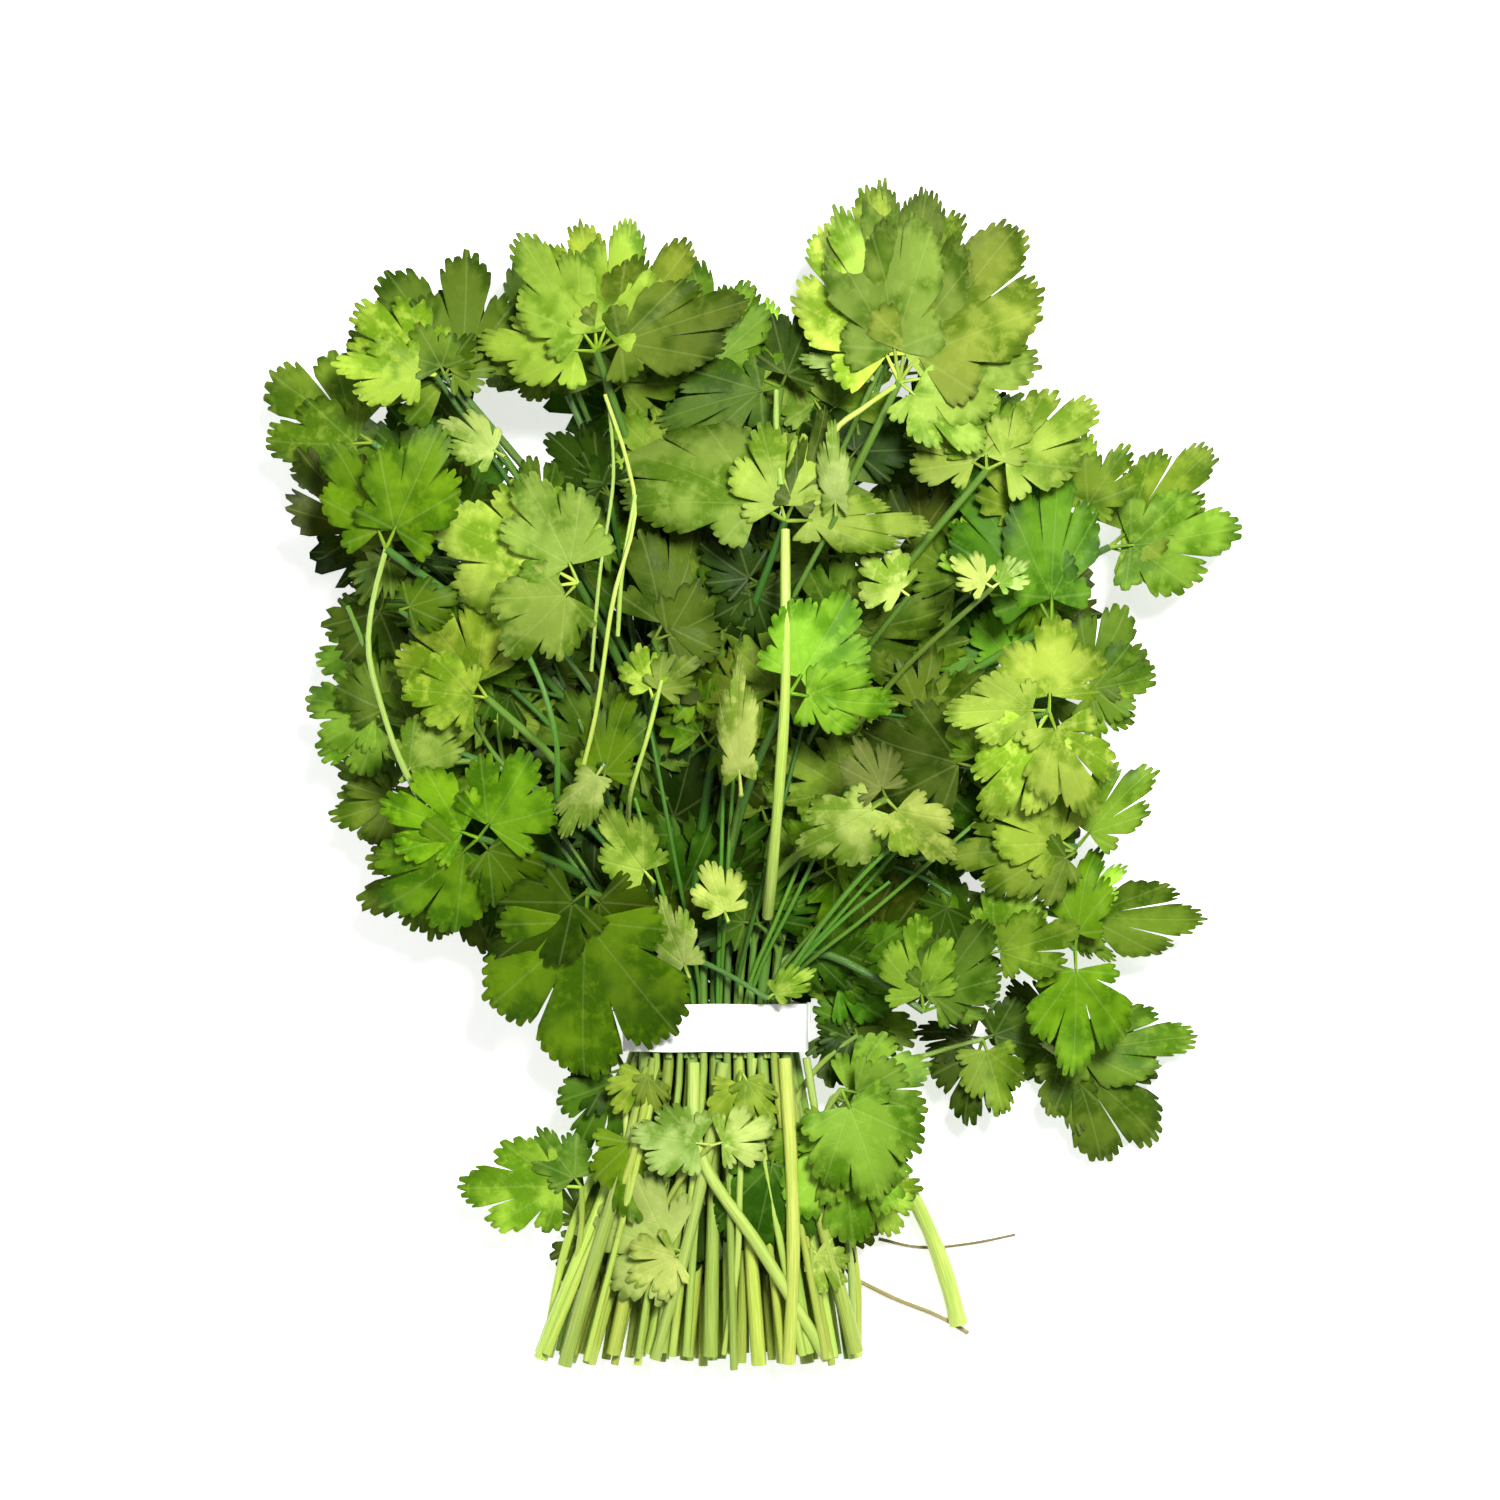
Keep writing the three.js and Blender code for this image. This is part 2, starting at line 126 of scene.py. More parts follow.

# Compound leaves of the frame: name, hub x, y, level (share of the dome's height), tone, and leaflets as
# (heading in degrees, length, width as a share of the usual). Heading 0 is +X and 90 is +Y. A fourth
# number, where there is one, is how light the leaflet is, as a share of its tone: partly the leaflet's
# own colour and partly painted light and shade, where it lies lit or in the crown's shade.
LEAVES = [
    ("crest_right", 34, 88, 0.98, "light",
     [(114, 42, 0.56, 1.65), (98, 47, 0.44, 0.55), (80, 47, 0.42, 0.55), (55, 46, 0.6, 0.6),
      (8, 33, 0.62, 0.95), (-42, 25, 0.6)]),
    ("top_left_fan", -35, 95, 0.98, "fresh",
     [(177, 28, 0.55), (126, 33, 0.56, 1.1), (94, 32, 0.55), (69, 32, 0.5), (44, 34, 0.56, 0.5),
      (21, 37, 0.45, 0.4)]),
    ("inner_upper", 7, 87, 0.8, "mid", [(156, 26, 0.6, 0.85), (190, 29, 0.5, 0.5), (66, 20, 0.7, 0.25)]),
    ("centre", 8, 56, 1, "light",
     [(148, 46, 0.5, 0.65), (106, 23, 0.8), (2, 34, 0.32, 0.7), (64, 27, 0.3, 0.3)]),
    ("right_upper", 54, 68, 0.88, "light", [(150, 21, 0.7, 0.85), (26, 30, 0.6, 0.9), (92, 20, 0.8)]),
    ("right_dark", 69, 33, 0.8, "deep", [(120, 42, 0.5, 1.2), (92, 37, 0.48, 1.8)]),
    ("right_outlier", 83, 51, 0.5, "olive", [(40, 35, 0.5, 1.2), (4, 31, 0.66, 1.6)]),
    ("right_edge", 76, 18, 0.6, "mid", [(54, 22, 0.8, 0.55), (6, 18, 0.8, 0.65), (-38, 15, 0.8, 1.1)]),
    ("right_light", 68, 13, 1.02, "light",
     [(88, 22, 1, 1), (176, 24, 0.6, 1.1), (240, 29, 0.6, 2), (-70, 26, 0.65)]),
    ("right_fern", 72, -34, 0.62, "mid", [(-3, 34, 0.42, 0.7), (38, 19, 0.45, 1.7), (-46, 17, 0.4)]),
    ("bottom_right", 71, -66, 0.4, "olive",
     [(-35, 32, 0.76, 0.75), (5, 33, 0.46, 1.2), (-74, 20, 0.6, 0.7)]),
    ("right_mid", 40, -56, 1.1, "mid", [(58, 26, 0.65, 0.65), (100, 23, 0.65, 1.2), (20, 19, 0.6, 0.9)]),
    ("yellow_cluster", 31, -7, 1.08, "yellow",
     [(216, 24, 0.6, 0.95), (-48, 21, 0.65, 0.9), (112, 16, 0.65, 0.3)]),
    ("inner_bright", 9, 17, 1.04, "lime", [(58, 27, 0.7), (-10, 24, 0.6, 0.9)]),
    ("left_round", -39, 42, 0.98, "light",
     [(150, 36, 0.75, 1.15), (112, 28, 0.75, 0.8), (187, 30, 0.55, 1.3), (226, 24, 0.8, 0.65)]),
    ("left_bright", -83, 50, 0.98, "bright", [(112, 28, 0.6, 0.8), (66, 31, 0.62, 0.8)]),
    ("left_edge", -87, 75, 0.58, "olive", [(146, 30, 0.85, 1.2), (183, 25, 0.75, 1.4)]),
    ("top_left_olive", -66, 86, 0.76, "olive",
     [(116, 34, 0.78, 0.65), (88, 33, 0.74, 0.8), (152, 31, 0.7, 1.05)]),
    ("left_mid", -60, 16, 0.9, "fresh", [(122, 27, 0.8), (172, 20, 0.7, 1.1)]),
    ("left_side", -83, 11, 0.6, "mid", [(162, 21, 0.85, 1.2), (118, 18, 0.8, 0.55), (206, 19, 0.85, 1.1)]),
    ("left_big", -62, -16, 1, "bright",
     [(160, 24, 0.8, 1.4), (52, 23, 0.9), (222, 28, 0.75, 0.8), (-50, 21, 0.7, 0.45)]),
    ("low_left", -37, -28, 1.16, "bright",
     [(266, 44, 0.85, 0.8), (218, 27, 0.7, 0.3), (316, 22, 0.8, 0.3)]),
    ("low_left_dark", -50, -34, 0.5, "deep", [(210, 15, 0.8, 1.6), (262, 20, 0.8)]),
    ("under_left", -64, 50, 0.07, "deep", [(162, 34, 0.9), (122, 34, 0.9), (216, 28, 0.9)]),
    ("under_top", -12, 74, 0.07, "mid", [(122, 32, 0.9), (60, 34, 0.9), (0, 24, 0.9)]),
    ("under_right", 48, 56, 0.07, "mid", [(102, 30, 0.9), (45, 34, 0.9), (-12, 30, 0.9)]),
    ("under_low_left", -50, -2, 0.08, "deep", [(170, 32, 0.9), (108, 26, 0.9), (232, 26, 0.9)]),
    ("under_low_right", 42, -4, 0.08, "deep", [(10, 34, 0.9), (72, 26, 0.9), (-52, 28, 0.9)]),
]

# Small leaves that sprout from the side of the bundle below the tie. Their height is given, not a level.
SIDE_LEAVES = [
    ("below_left", -39, -97, 19, "mid", [(177, 29, 0.65, 1.5), (125, 17, 0.65, 0.7)]),
    ("below_right", 21, -74, 27, "mid", [(-12, 21, 0.8, 0.75), (-64, 27, 0.8)]),
]

# Leaves that only the looks have, between the frame's: the same columns.
SPRIGS = [
    ("right_shade", 76, 58, 0.66, "olive", [(88, 19, 0.7, 1.5), (58, 20, 0.6, 1.2)]),
    ("right_twig", 75.5, -18, 0.72, "mid", [(52, 25, 0.56, 1.1)]),
    ("right_lower", 75, -42, 0.8, "bright", [(84, 25, 0.5, 0.8), (-87, 29, 0.7)]),
    ("right_toothed", 54, -63, 0.5, "olive",
     [(-108, 20, 0.8, 0.45), (-70, 19, 0.7, 1.2), (20, 18, 0.7, 0.6), (165, 16, 0.7, 0.4)]),
    ("right_inner", 52, 0, 0.86, "fresh", [(165, 28, 0.8, 0.28), (95, 18, 0.7, 0.9)]),
    ("right_band", 75, -19, 0.84, "fresh", [(178, 30, 0.6, 0.8), (150, 26, 0.7), (214, 18, 0.7, 0.5)]),
    ("right_olive", 50, 40, 0.72, "mid", [(110, 26, 0.8, 0.7), (60, 22, 0.8, 2.3), (160, 22, 0.8, 0.7)]),
    ("right_hollow", 26, -44, 0.66, "brown", [(62, 26, 0.8), (104, 24, 0.8), (18, 22, 0.8)]),
    ("right_neck", 17, -51, 0.6, "deep", [(44, 24, 0.7, 1.5), (82, 20, 0.7), (6, 22, 0.7, 1.9)]),
    ("right_low_band", 52, -38, 0.62, "mid",
     [(190, 24, 0.8, 1.2), (232, 22, 0.8, 0.7), (150, 20, 0.7, 0.35)]),
    ("right_low_shade", 76, -62, 0.34, "brown", [(190, 22, 0.8, 1.5), (150, 20, 0.7, 0.8)]),
    ("crest_shade", 8, 86, 0.62, "deep", [(64, 22, 0.8), (22, 20, 0.8), (-30, 18, 0.8)]),
    ("crest_pale", 30, 92, 0.9, "pale", [(174, 19, 0.4, 0.7)]),
    ("crest_strip", 19.5, 57, 1.02, "pale", [(93, 22, 0.26, 0.65)]),
    ("crest_gap", 22, 70, 0.7, "shade", [(100, 20, 0.9), (50, 20, 0.9), (150, 18, 0.9)]),
    ("gap_pale", -56, 71, 0.9, "pale", [(150, 17, 0.6, 0.8)]),
    ("left_brown", -76, 48, 0.42, "brown", [(140, 24, 0.7), (180, 14, 0.8), (225, 18, 0.8, 1.3)]),
    ("left_rim", -82, 30, 0.4, "mid", [(150, 16, 0.8), (205, 20, 0.8, 1.5), (110, 18, 0.8)]),
    ("top_left_dark", -42, 92, 0.6, "olive", [(124, 30, 0.8, 1.4), (156, 25, 0.8), (192, 20, 0.5)]),
    ("left_yellow", -80, -3, 0.92, "light", [(55, 23, 0.6, 0.65)]),
    ("left_low_brown", -80, -6, 0.4, "olive", [(160, 18, 0.8, 0.7), (205, 18, 0.8), (250, 20, 0.8, 0.8)]),
    ("low_left_rim", -36, -60, 0.34, "brown", [(215, 11, 0.8), (255, 14, 0.8), (170, 12, 0.8)]),
    ("mid_pale", -2, -6, 1, "pale", [(95, 31, 0.24, 0.7)]),
    ("inner_pale", 36, 39, 0.98, "pale", [(140, 15, 0.8, 1.05)]),
    ("mid_left_light", -22, 16, 1, "light", [(110, 14, 0.7, 1.5), (50, 14, 0.7, 0.55)]),
    ("neck_yellow", -5, -35, 1.1, "yellow", [(108, 15, 0.7, 1.1)]),
    ("neck_pale", -14, -48, 1.1, "pale", [(110, 20, 0.45, 0.85)]),
    ("neck_left", -24, -44, 0.7, "brown", [(120, 24, 0.8), (80, 22, 0.8), (165, 22, 0.8)]),
    ("mid_bright", -34, -5, 1.02, "bright", [(75, 25, 0.5, 0.65)]),
    ("fold_pale", -33, 1, 1.08, "pale", [(235, 20, 0.4, 0.7)]),
    ("neck_light", -22, -26, 1.06, "light", [(130, 21, 0.6, 1.1)]),
    ("mid_olive", -22, 29, 0.82, "olive", [(60, 28, 0.8, 0.6), (20, 22, 0.8, 0.6)]),
    ("neck_small", 4, -53, 1.04, "light", [(35, 13, 0.5, 1.4)]),
    ("right_hole", 60, 22, 0.55, "deep", [(130, 24, 0.9, 1.5), (90, 20, 0.8, 2.2), (165, 22, 0.8)]),
    ("right_fill", 54, -43, 0.78, "mid", [(58, 24, 0.6, 1.2), (12, 24, 0.6), (104, 13, 0.6, 1.5)]),
    ("tie_shade", 18, -58, 0.5, "mid", [(-10, 22, 0.8, 0.9), (-60, 20, 0.8, 0.35), (40, 20, 0.8, 1.3)]),
    ("gap_edge", -32, 62, 0.8, "deep",
     [(150, 17, 0.7, 0.5), (110, 20, 0.7, 0.3), (75, 20, 0.7, 0.5), (129, 22, 0.6, 0.4)]),
    ("left_foot", -68, -20, 0.5, "olive", [(212, 25, 0.8), (246, 21, 0.8), (284, 24, 0.8, 0.6)]),
    ("left_smooth", -80, 36, 0.92, "bright", [(20, 15, 0.7, 0.5)]),
    ("top_notch", -4, 92, 0.72, "mid", [(50, 19, 0.7, 2.4), (86, 20, 0.7, 0.8), (120, 20, 0.7, 0.7)]),
    ("top_left_rim", -72, 90, 0.84, "fresh", [(134, 25, 0.7, 1.2), (172, 24, 0.6, 1.2)]),
    ("tie_edge", 25, -62, 0.6, "deep", [(150, 11, 1, 0.5), (206, 11, 1, 0.4), (112, 15, 0.8)]),
    ("crest_tip", 33, 98, 0.86, "light", [(97, 37, 0.5, 0.9), (118, 33, 0.5, 1.2), (66, 34, 0.5, 0.6)]),
    ("top_fill", -8, 90, 0.78, "mid", [(100, 28, 0.6, 0.8), (76, 24, 0.6, 0.9)]),
    ("gap_low", -46, 56, 0.8, "mid", [(110, 17, 0.7, 0.5)]),
    ("neck_shade", -8, -50, 0.06, "shade", [(90, 30, 0.9), (45, 26, 0.9), (135, 26, 0.9), (4, 25, 0.8)]),
    ("outlier_base", 83, 51, 0.46, "olive", [(-18, 18, 0.6, 1.8)]),
    # hollow_mid is a dark leaf in the shade tone: painted shade for a dark hollow in the crown.
    ("hollow_mid", 2, 42, 0.84, "shade", [(205, 16, 0.8), (250, 18, 0.8), (150, 16, 0.8), (300, 13, 0.8)]),
    ("top_left_hub", -70, 90, 0.84, "olive", [(60, 12, 0.8, 0.8), (110, 14, 0.8), (10, 12, 0.8, 0.8)]),
    ("right_glint", 55, 41, 1.02, "pale", [(150, 12, 0.7), (35, 11, 0.6)]),
]

# The sprigs furthest from the tie have thin stems of their own, in the spaces beside the frame's stems in
# the tie. The others have stalks of side_radius, which branch from other stems.
THREAD = SimpleNamespace(columns=6, rows=4, base_radius=0.95, tip_radius=0.6, side_radius=0.8)
SPRIG_LEAN = 20  # the most degrees that a sprig leans as a whole
# The radii of the stalks of the small leaves below the tie, at base and tip.
SIDE_STALK = (0.8, 0.6)

# Small leaves caught among the stems below the tie: as SIDE_LEAVES.
TUCKED = [
    ("tucked_flat", -15, -112, 20.5, "pale", [(166, 23, 1, 0.85), (204, 15, 0.9, 0.8)]),
    ("tucked_cross", -9, -87, 25.5, "pale", [(172, 19, 0.7, 0.8), (14, 16, 0.8)]),
    ("tucked_yellow", 14, -111, 18, "yellow", [(-45, 13, 0.7)]),
    ("tucked_dark", 6, -86, 22, "deep", [(-98, 34, 0.6)]),
    ("tucked_green", -27, -83, 21, "bright", [(262, 22, 0.7, 0.75)]),
    ("tucked_right", 22, -81, 23, "mid", [(-88, 30, 0.75, 1.4), (-40, 20, 0.7), (-128, 24, 0.7)]),
    ("tucked_top", -2, -70, 24, "fresh", [(-100, 18, 0.7), (-60, 14, 0.6)]),
    ("tucked_top_left", -24, -69, 23, "fresh", [(-120, 13, 0.7), (-80, 12, 0.6, 0.6)]),
    ("tucked_shade", 15, -96, 13, "brown", [(-70, 24, 0.8), (-20, 16, 0.8, 1.6)]),
    ("tucked_edge", -38, -108, 10, "brown", [(-110, 14, 0.8), (100, 16, 0.7, 1.5)]),
    ("tucked_middle", -8, -98, 14, "shade", [(-80, 24, 0.9), (-130, 22, 0.9)]),
    ("tucked_low_right", 27, -96, 12, "fresh", [(-60, 15, 0.8, 1.6), (-15, 13, 0.8, 1.3)]),
    ("tucked_side", 19, -76, 20, "mid", [(-24, 20, 0.8), (-60, 18, 0.8, 0.5), (24, 24, 0.7, 1.1)]),
    ("tucked_left", -30, -70, 16, "deep", [(196, 14, 0.9, 0.6), (240, 20, 0.8)]),
]

# Loose stems over the bundle and beside it: name, base and tip radius, tone, route.
LOOSE_STEPS = 16
LOOSE = [
    ("loose_diagonal", 1.5, 1.4, "pale",
     [(-13, -68, 23), (-12, -88, 23.5), (3, -112, 20.5), (18, -137, 15)]),
    ("loose_crossing", 1.5, 1.3, "pale",
     [(-6, -68, 23), (-10, -90, 22), (-15, -112, 20), (-22, -137, 15.5)]),
    ("loose_upright", 1.6, 1.5, "pale",
     [(8, -67, 23.2), (9.5, -90, 23.5), (10, -115, 20.5), (9, -138, 15.5)]),
    ("loose_left", 1.1, 1, "fresh", [(-22, -67, 22.5), (-27, -90, 21), (-36, -114, 14), (-41, -136, 9)]),
    ("loose_outer_left", 1, 0.9, "fresh",
     [(-26, -67, 16), (-34, -88, 15), (-43, -112, 10), (-48, -137, 5)]),
    ("loose_thin", 0.8, 0.7, "pale", [(1, -67, 23), (-2, -90, 22.5), (-3, -115, 19), (-6, -136, 14)]),
    ("loose_curved", 0.9, 0.8, "pale", [(13, -67, 21), (17, -90, 19), (23, -112, 11), (24, -137, 7)]),
    ("loose_short", 0.9, 0.8, "fresh", [(18, -92, 11), (23, -99, 9), (31, -108, 5)]),
    ("loose_side", 1, 1.1, "fresh", [(19, -98, 12), (23, -108, 8), (25, -122, 4), (25, -137, 1.5)]),
    ("loose_dry_upper", 0.4, 0.3, "dry",
     [(30, -110, 1.2), (40, -112, 0.7), (52, -111, 0.8), (62, -109, 0.5)]),
    ("loose_dry_lower", 0.55, 0.5, "dry", [(24, -119, 2), (34, -124, 1), (44, -128, 0.9), (51, -132, 0.7)]),
]

# A bed of stems lies at the bottom of the bundle, below the tie. Its cut ends reach from left to right.
# course: how far below the tie a stem has gone which share of its way to the side.
BED = SimpleNamespace(
    count=27, left=-47, right=23, base_radius=1.2, tip_radius=1.1, height=1.8, step=1.7,
    sink=0.6, course=[(0, 0.0), (25, 0.34), (52, 0.72)], steps=9,
    tones=["fresh", "green", "pale", "fresh", "green"],
)

# Thin stems that come out of the top of the tie and fan out over the dark leaves above it: bearings in
# degrees from +Y, clockwise, how much they sway, how far they reach, where they come out, and the levels
# between which they sink at shares of their reach.
FAN = SimpleNamespace(
    count=13, first=-38, last=50, sway=3, base_radius=0.55, tip_radius=0.45, reach=60,
    unevenness=0.22, first_level=0.92, level=0.7, half_width=14.45, height=22.2, rise=0.2,
    inside_tie=7, beyond_tie=8, shares=[0.4, 0.7, 1.0], steps=11,
    tones=["green", "fresh", "green"],
)

# Thin stems that show on top of the crown: name, radius, tone, route as (x, y, level) from the leaf. Their
# radius has grown by TWIG_TAPER where they go into the crown.
TWIG_TAPER = 1.2
TWIG_STEPS = 18
TWIGS = [
    ("twig_fan", 0.45, "pale",
     [(-33, 85, 0.98), (-28, 70, 0.96), (-26, 58, 0.98), (-31, 38, 1.02), (-35, 12, 1.03),
      (-42, -14, 0.98)]),
    ("twig_fan_side", 0.38, "pale", [(-32, 82, 0.94), (-31, 66, 0.97), (-34, 44, 1), (-36, 22, 0.98)]),
    ("twig_fan_inner", 0.45, "pale", [(-26, 62, 0.98), (-29, 44, 0.98), (-30, 30, 0.94)]),
    ("twig_centre", 1.1, "pale",
     [(8, 54, 0.99), (8, 40, 1.02), (8, 18, 1.05), (6.5, -6, 1.06), (5, -24, 0.98), (4, -34, 0.8)]),
    ("twig_upper", 0.6, "pale", [(6, 86, 0.9), (6, 76, 0.97), (7, 64, 1.02)]),
    ("twig_left", 0.6, "pale",
     [(-83, 50, 0.97), (-86, 38, 1), (-87, 27, 1.02), (-84, 14, 1), (-80, 2, 0.96), (-70, -18, 0.8)]),
    ("twig_left_side", 0.5, "green", [(-92, 37, 0.92), (-88, 28, 0.98)]),
    ("twig_mid_left", 0.6, "green", [(-52, 29, 0.94), (-47, 18, 0.98), (-44, 6, 1), (-44, -9, 0.98)]),
    ("twig_mid", 0.5, "pale", [(-20, 20, 1), (-23, 8, 1.02), (-27, -5, 0.98), (-28, -12, 0.8)]),
    ("twig_crest", 0.6, "pale", [(33, 87, 0.97), (26, 82, 0.99), (19, 76, 0.98), (18, 58, 0.92)]),
    ("twig_low_right", 0.5, "green", [(39, -12, 0.98), (28, -22, 1.02), (17, -35, 1.04), (7, -50, 1.02)]),
    ("twig_low_right_side", 0.45, "green", [(32, -26, 0.94), (22, -34, 0.98), (12, -44, 1), (5, -53, 1)]),
]

# Sprays are the bundle's other stems. They fill the spaces between the frame's stems in the tie, and
# carry the leaves inside the crown: for each row of spaces, its height in the tie, stem radius, level and
# turn of its fan.
SPRAY_ROWS = [(6.65, 1.4, 0.3, -6), (12.15, 1.35, 0.5, 7), (17.65, 1.3, 0.7, -3), (22.9, 0.95, 0.86, 5)]
SPRAY_BEARINGS = [-52, -33, -13, 9, 33, 64]  # degrees from +Y, clockwise
SPRAY_SHARES = [0.4, 0.5, 0.6, 0.7, 0.8, 0.9]  # where along its stem a spray's side leaves branch off
# A spray's stem goes on by steps from its start until its leaf would leave the crown. Its level falls
# from middle_y to the crown's edge. Pairs are ranges: of its reach and thickness as shares, and of how
# far its cut end strays.
SPRAY = SimpleNamespace(
    beyond_tie=8, start=20.0, step=2.0, leaf=26, sway=5, reach=(0.86, 1.0),
    radius=(0.7, 1.05), tip_radius=0.7, sides=8, fall=0.35, middle_y=20, edge=110,
    stray_x=(-4.5, 4.5), stray_y=(-1, 1.5),
)
# Its side leaves: how far they swing from its heading and stand off it, their level as a share of its
# own, how low they may lie and how near the tie and the crown's outline, their size, and their stalks'
# radii and sides.
SPRAY_SIDE = SimpleNamespace(
    swing=(35, 75), stand_off=(12, 26), level=(0.75, 1.15), lowest=2.0, from_tie=12,
    margin=5, size=0.85, stalk=(0.65, 0.5, 6),
)
# A spray's leaf: its leaflets' length and width, how far the outer ones turn from the middle one, and how
# far the leaf leans and its leaflets curl, how light they are (painted darker, as painted shade inside
# the crown) and how much deeper their slits may be.
SPRAY_LEAF = SimpleNamespace(
    length=(20, 31), width=(0.6, 0.95), outer=(58, 78), outer_size=0.85, lean=30, curl=1.3,
    light=0.78, cuts=[0.0, 0.15, 0.3],
)
# Near the tie the leaves are in the crown's shade: below this y, a tone gives way to a darker one.
NECK = {"y": -14, "tones": {"fresh": "bright", "mid": "deep", "olive": "deep", "brown": "shade"}}
# A spray leaf's tones below each level in the crown: deep inside it gets little light and is darker.
SPRAY_TONES = [
    (0.36, ["shade", "deep", "brown", "shade"]),
    (0.62, ["deep", "olive", "brown", "mid"]),
    (math.inf, ["mid", "olive", "deep", "bright", "fresh", "olive"]),
]
# Where a stalk branches from a stem: best this far from its hub, at a cost for its turn, and no nearer.
BRANCH = SimpleNamespace(distance=26, turn=34, nearest=8, bend=0.45, steps=12)

# The crown's outline, from the left of the tie round to its right.
CROWN_EDGE = [
    (-42, -73), (-55, -53), (-80, -38), (-95, 0), (-101, 18), (-97, 40), (-95, 58), (-104, 68), (-111, 80),
    (-100, 97), (-78, 112), (-36, 124), (0, 108), (12, 105), (20, 128), (34, 135), (58, 128), (63, 100),
    (80, 84), (90, 68), (82, 45), (90, 25), (88, 10), (84, -20), (100, -33), (88, -45), (98, -60),
    (82, -88), (50, -76), (28, -66), (16, -56),
]
# Openings where the floor shows through the crown: x, y, radius.
OPENINGS = [(-54, 79, 10), (54, -29, 4), (67, -31, 4), (56, -54, 5), (30, -55, 3), (80, -61, 5), (-90, 3, 4)]

# The first random seed of each kind of piece. The frame's leaves and those below the tie have their index.
SEEDS = {
    "stray": 90, "stem": 100, "sprig": 200, "loose": 300, "twig": 330, "side_stalk": 350, "bed": 360,
    "neck": 380, "sprig_stalk": 400, "spray": 500,
}
# The camera looks straight down. The frame's width is measured at middle_height, and ahead is along +Y.
CAMERA = SimpleNamespace(lens=200, sensor=36, frame_width=345, middle_height=30, ahead=4.14)
# Lamps: name, place and size in metres, power in watts. They point at a spot above the origin, at this z.
LAMPS = [("key", (0.32, 0.5, 1.35), 0.4, 35.5), ("fill", (-0.9, -0.3, 1.1), 1.2, 3)]
LAMP_TARGET = 0.02
WORLD_STRENGTH = 0.3

# The layout's origin in the frame, from where the tie is.
TIE_LOW, TIE_HIGH = (np.array(corner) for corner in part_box("tie_band"))
SHIFT = (TIE_LOW + TIE_HIGH) / 2 - np.array([TIE.x, TIE.y, 0]) * MM
SHIFT[2] = 0


# --- Helpers ---
def linear(rgb):
    """An sRGB colour, in bytes, as linear numbers."""
    share = np.array(rgb) / 255
    return np.where(share <= 0.04045, share / 12.92, ((share + 0.055) / 1.055) ** 2.4)


def smooth(low, high, value):
    share = np.clip((value - low) / (high - low), 0, 1)
    return share * share * (3 - 2 * share)


def dome_height(x, y):
    along = np.clip((y - TIE.y) / CROWN.length, 0, 1)
    across = np.maximum(0, 1 - CROWN.flatten * (x / CROWN.half_width) ** 2)
    return CROWN.tail + CROWN.rise * np.maximum(0, np.sin(np.pi * along)) * across


def hub_at(x, y, level):
    return x, y, max(level * dome_height(x, y), HUB_RADIUS)


def scatter(index, part):
    """A scatter between -1 and 1, the same as the frame's own."""
    return math.sin(2.4 * index + 1.7 * part + 0.6)


def lengths_along(path):
    return np.concatenate([[0], np.cumsum(np.linalg.norm(np.diff(path, axis=0), axis=1))])


def unit(vectors):
    return vectors / np.maximum(np.linalg.norm(vectors, axis=1)[:, None], 1e-9)


def turned(a, b, angle):
    return a * np.cos(angle) - b * np.sin(angle), a * np.sin(angle) + b * np.cos(angle)


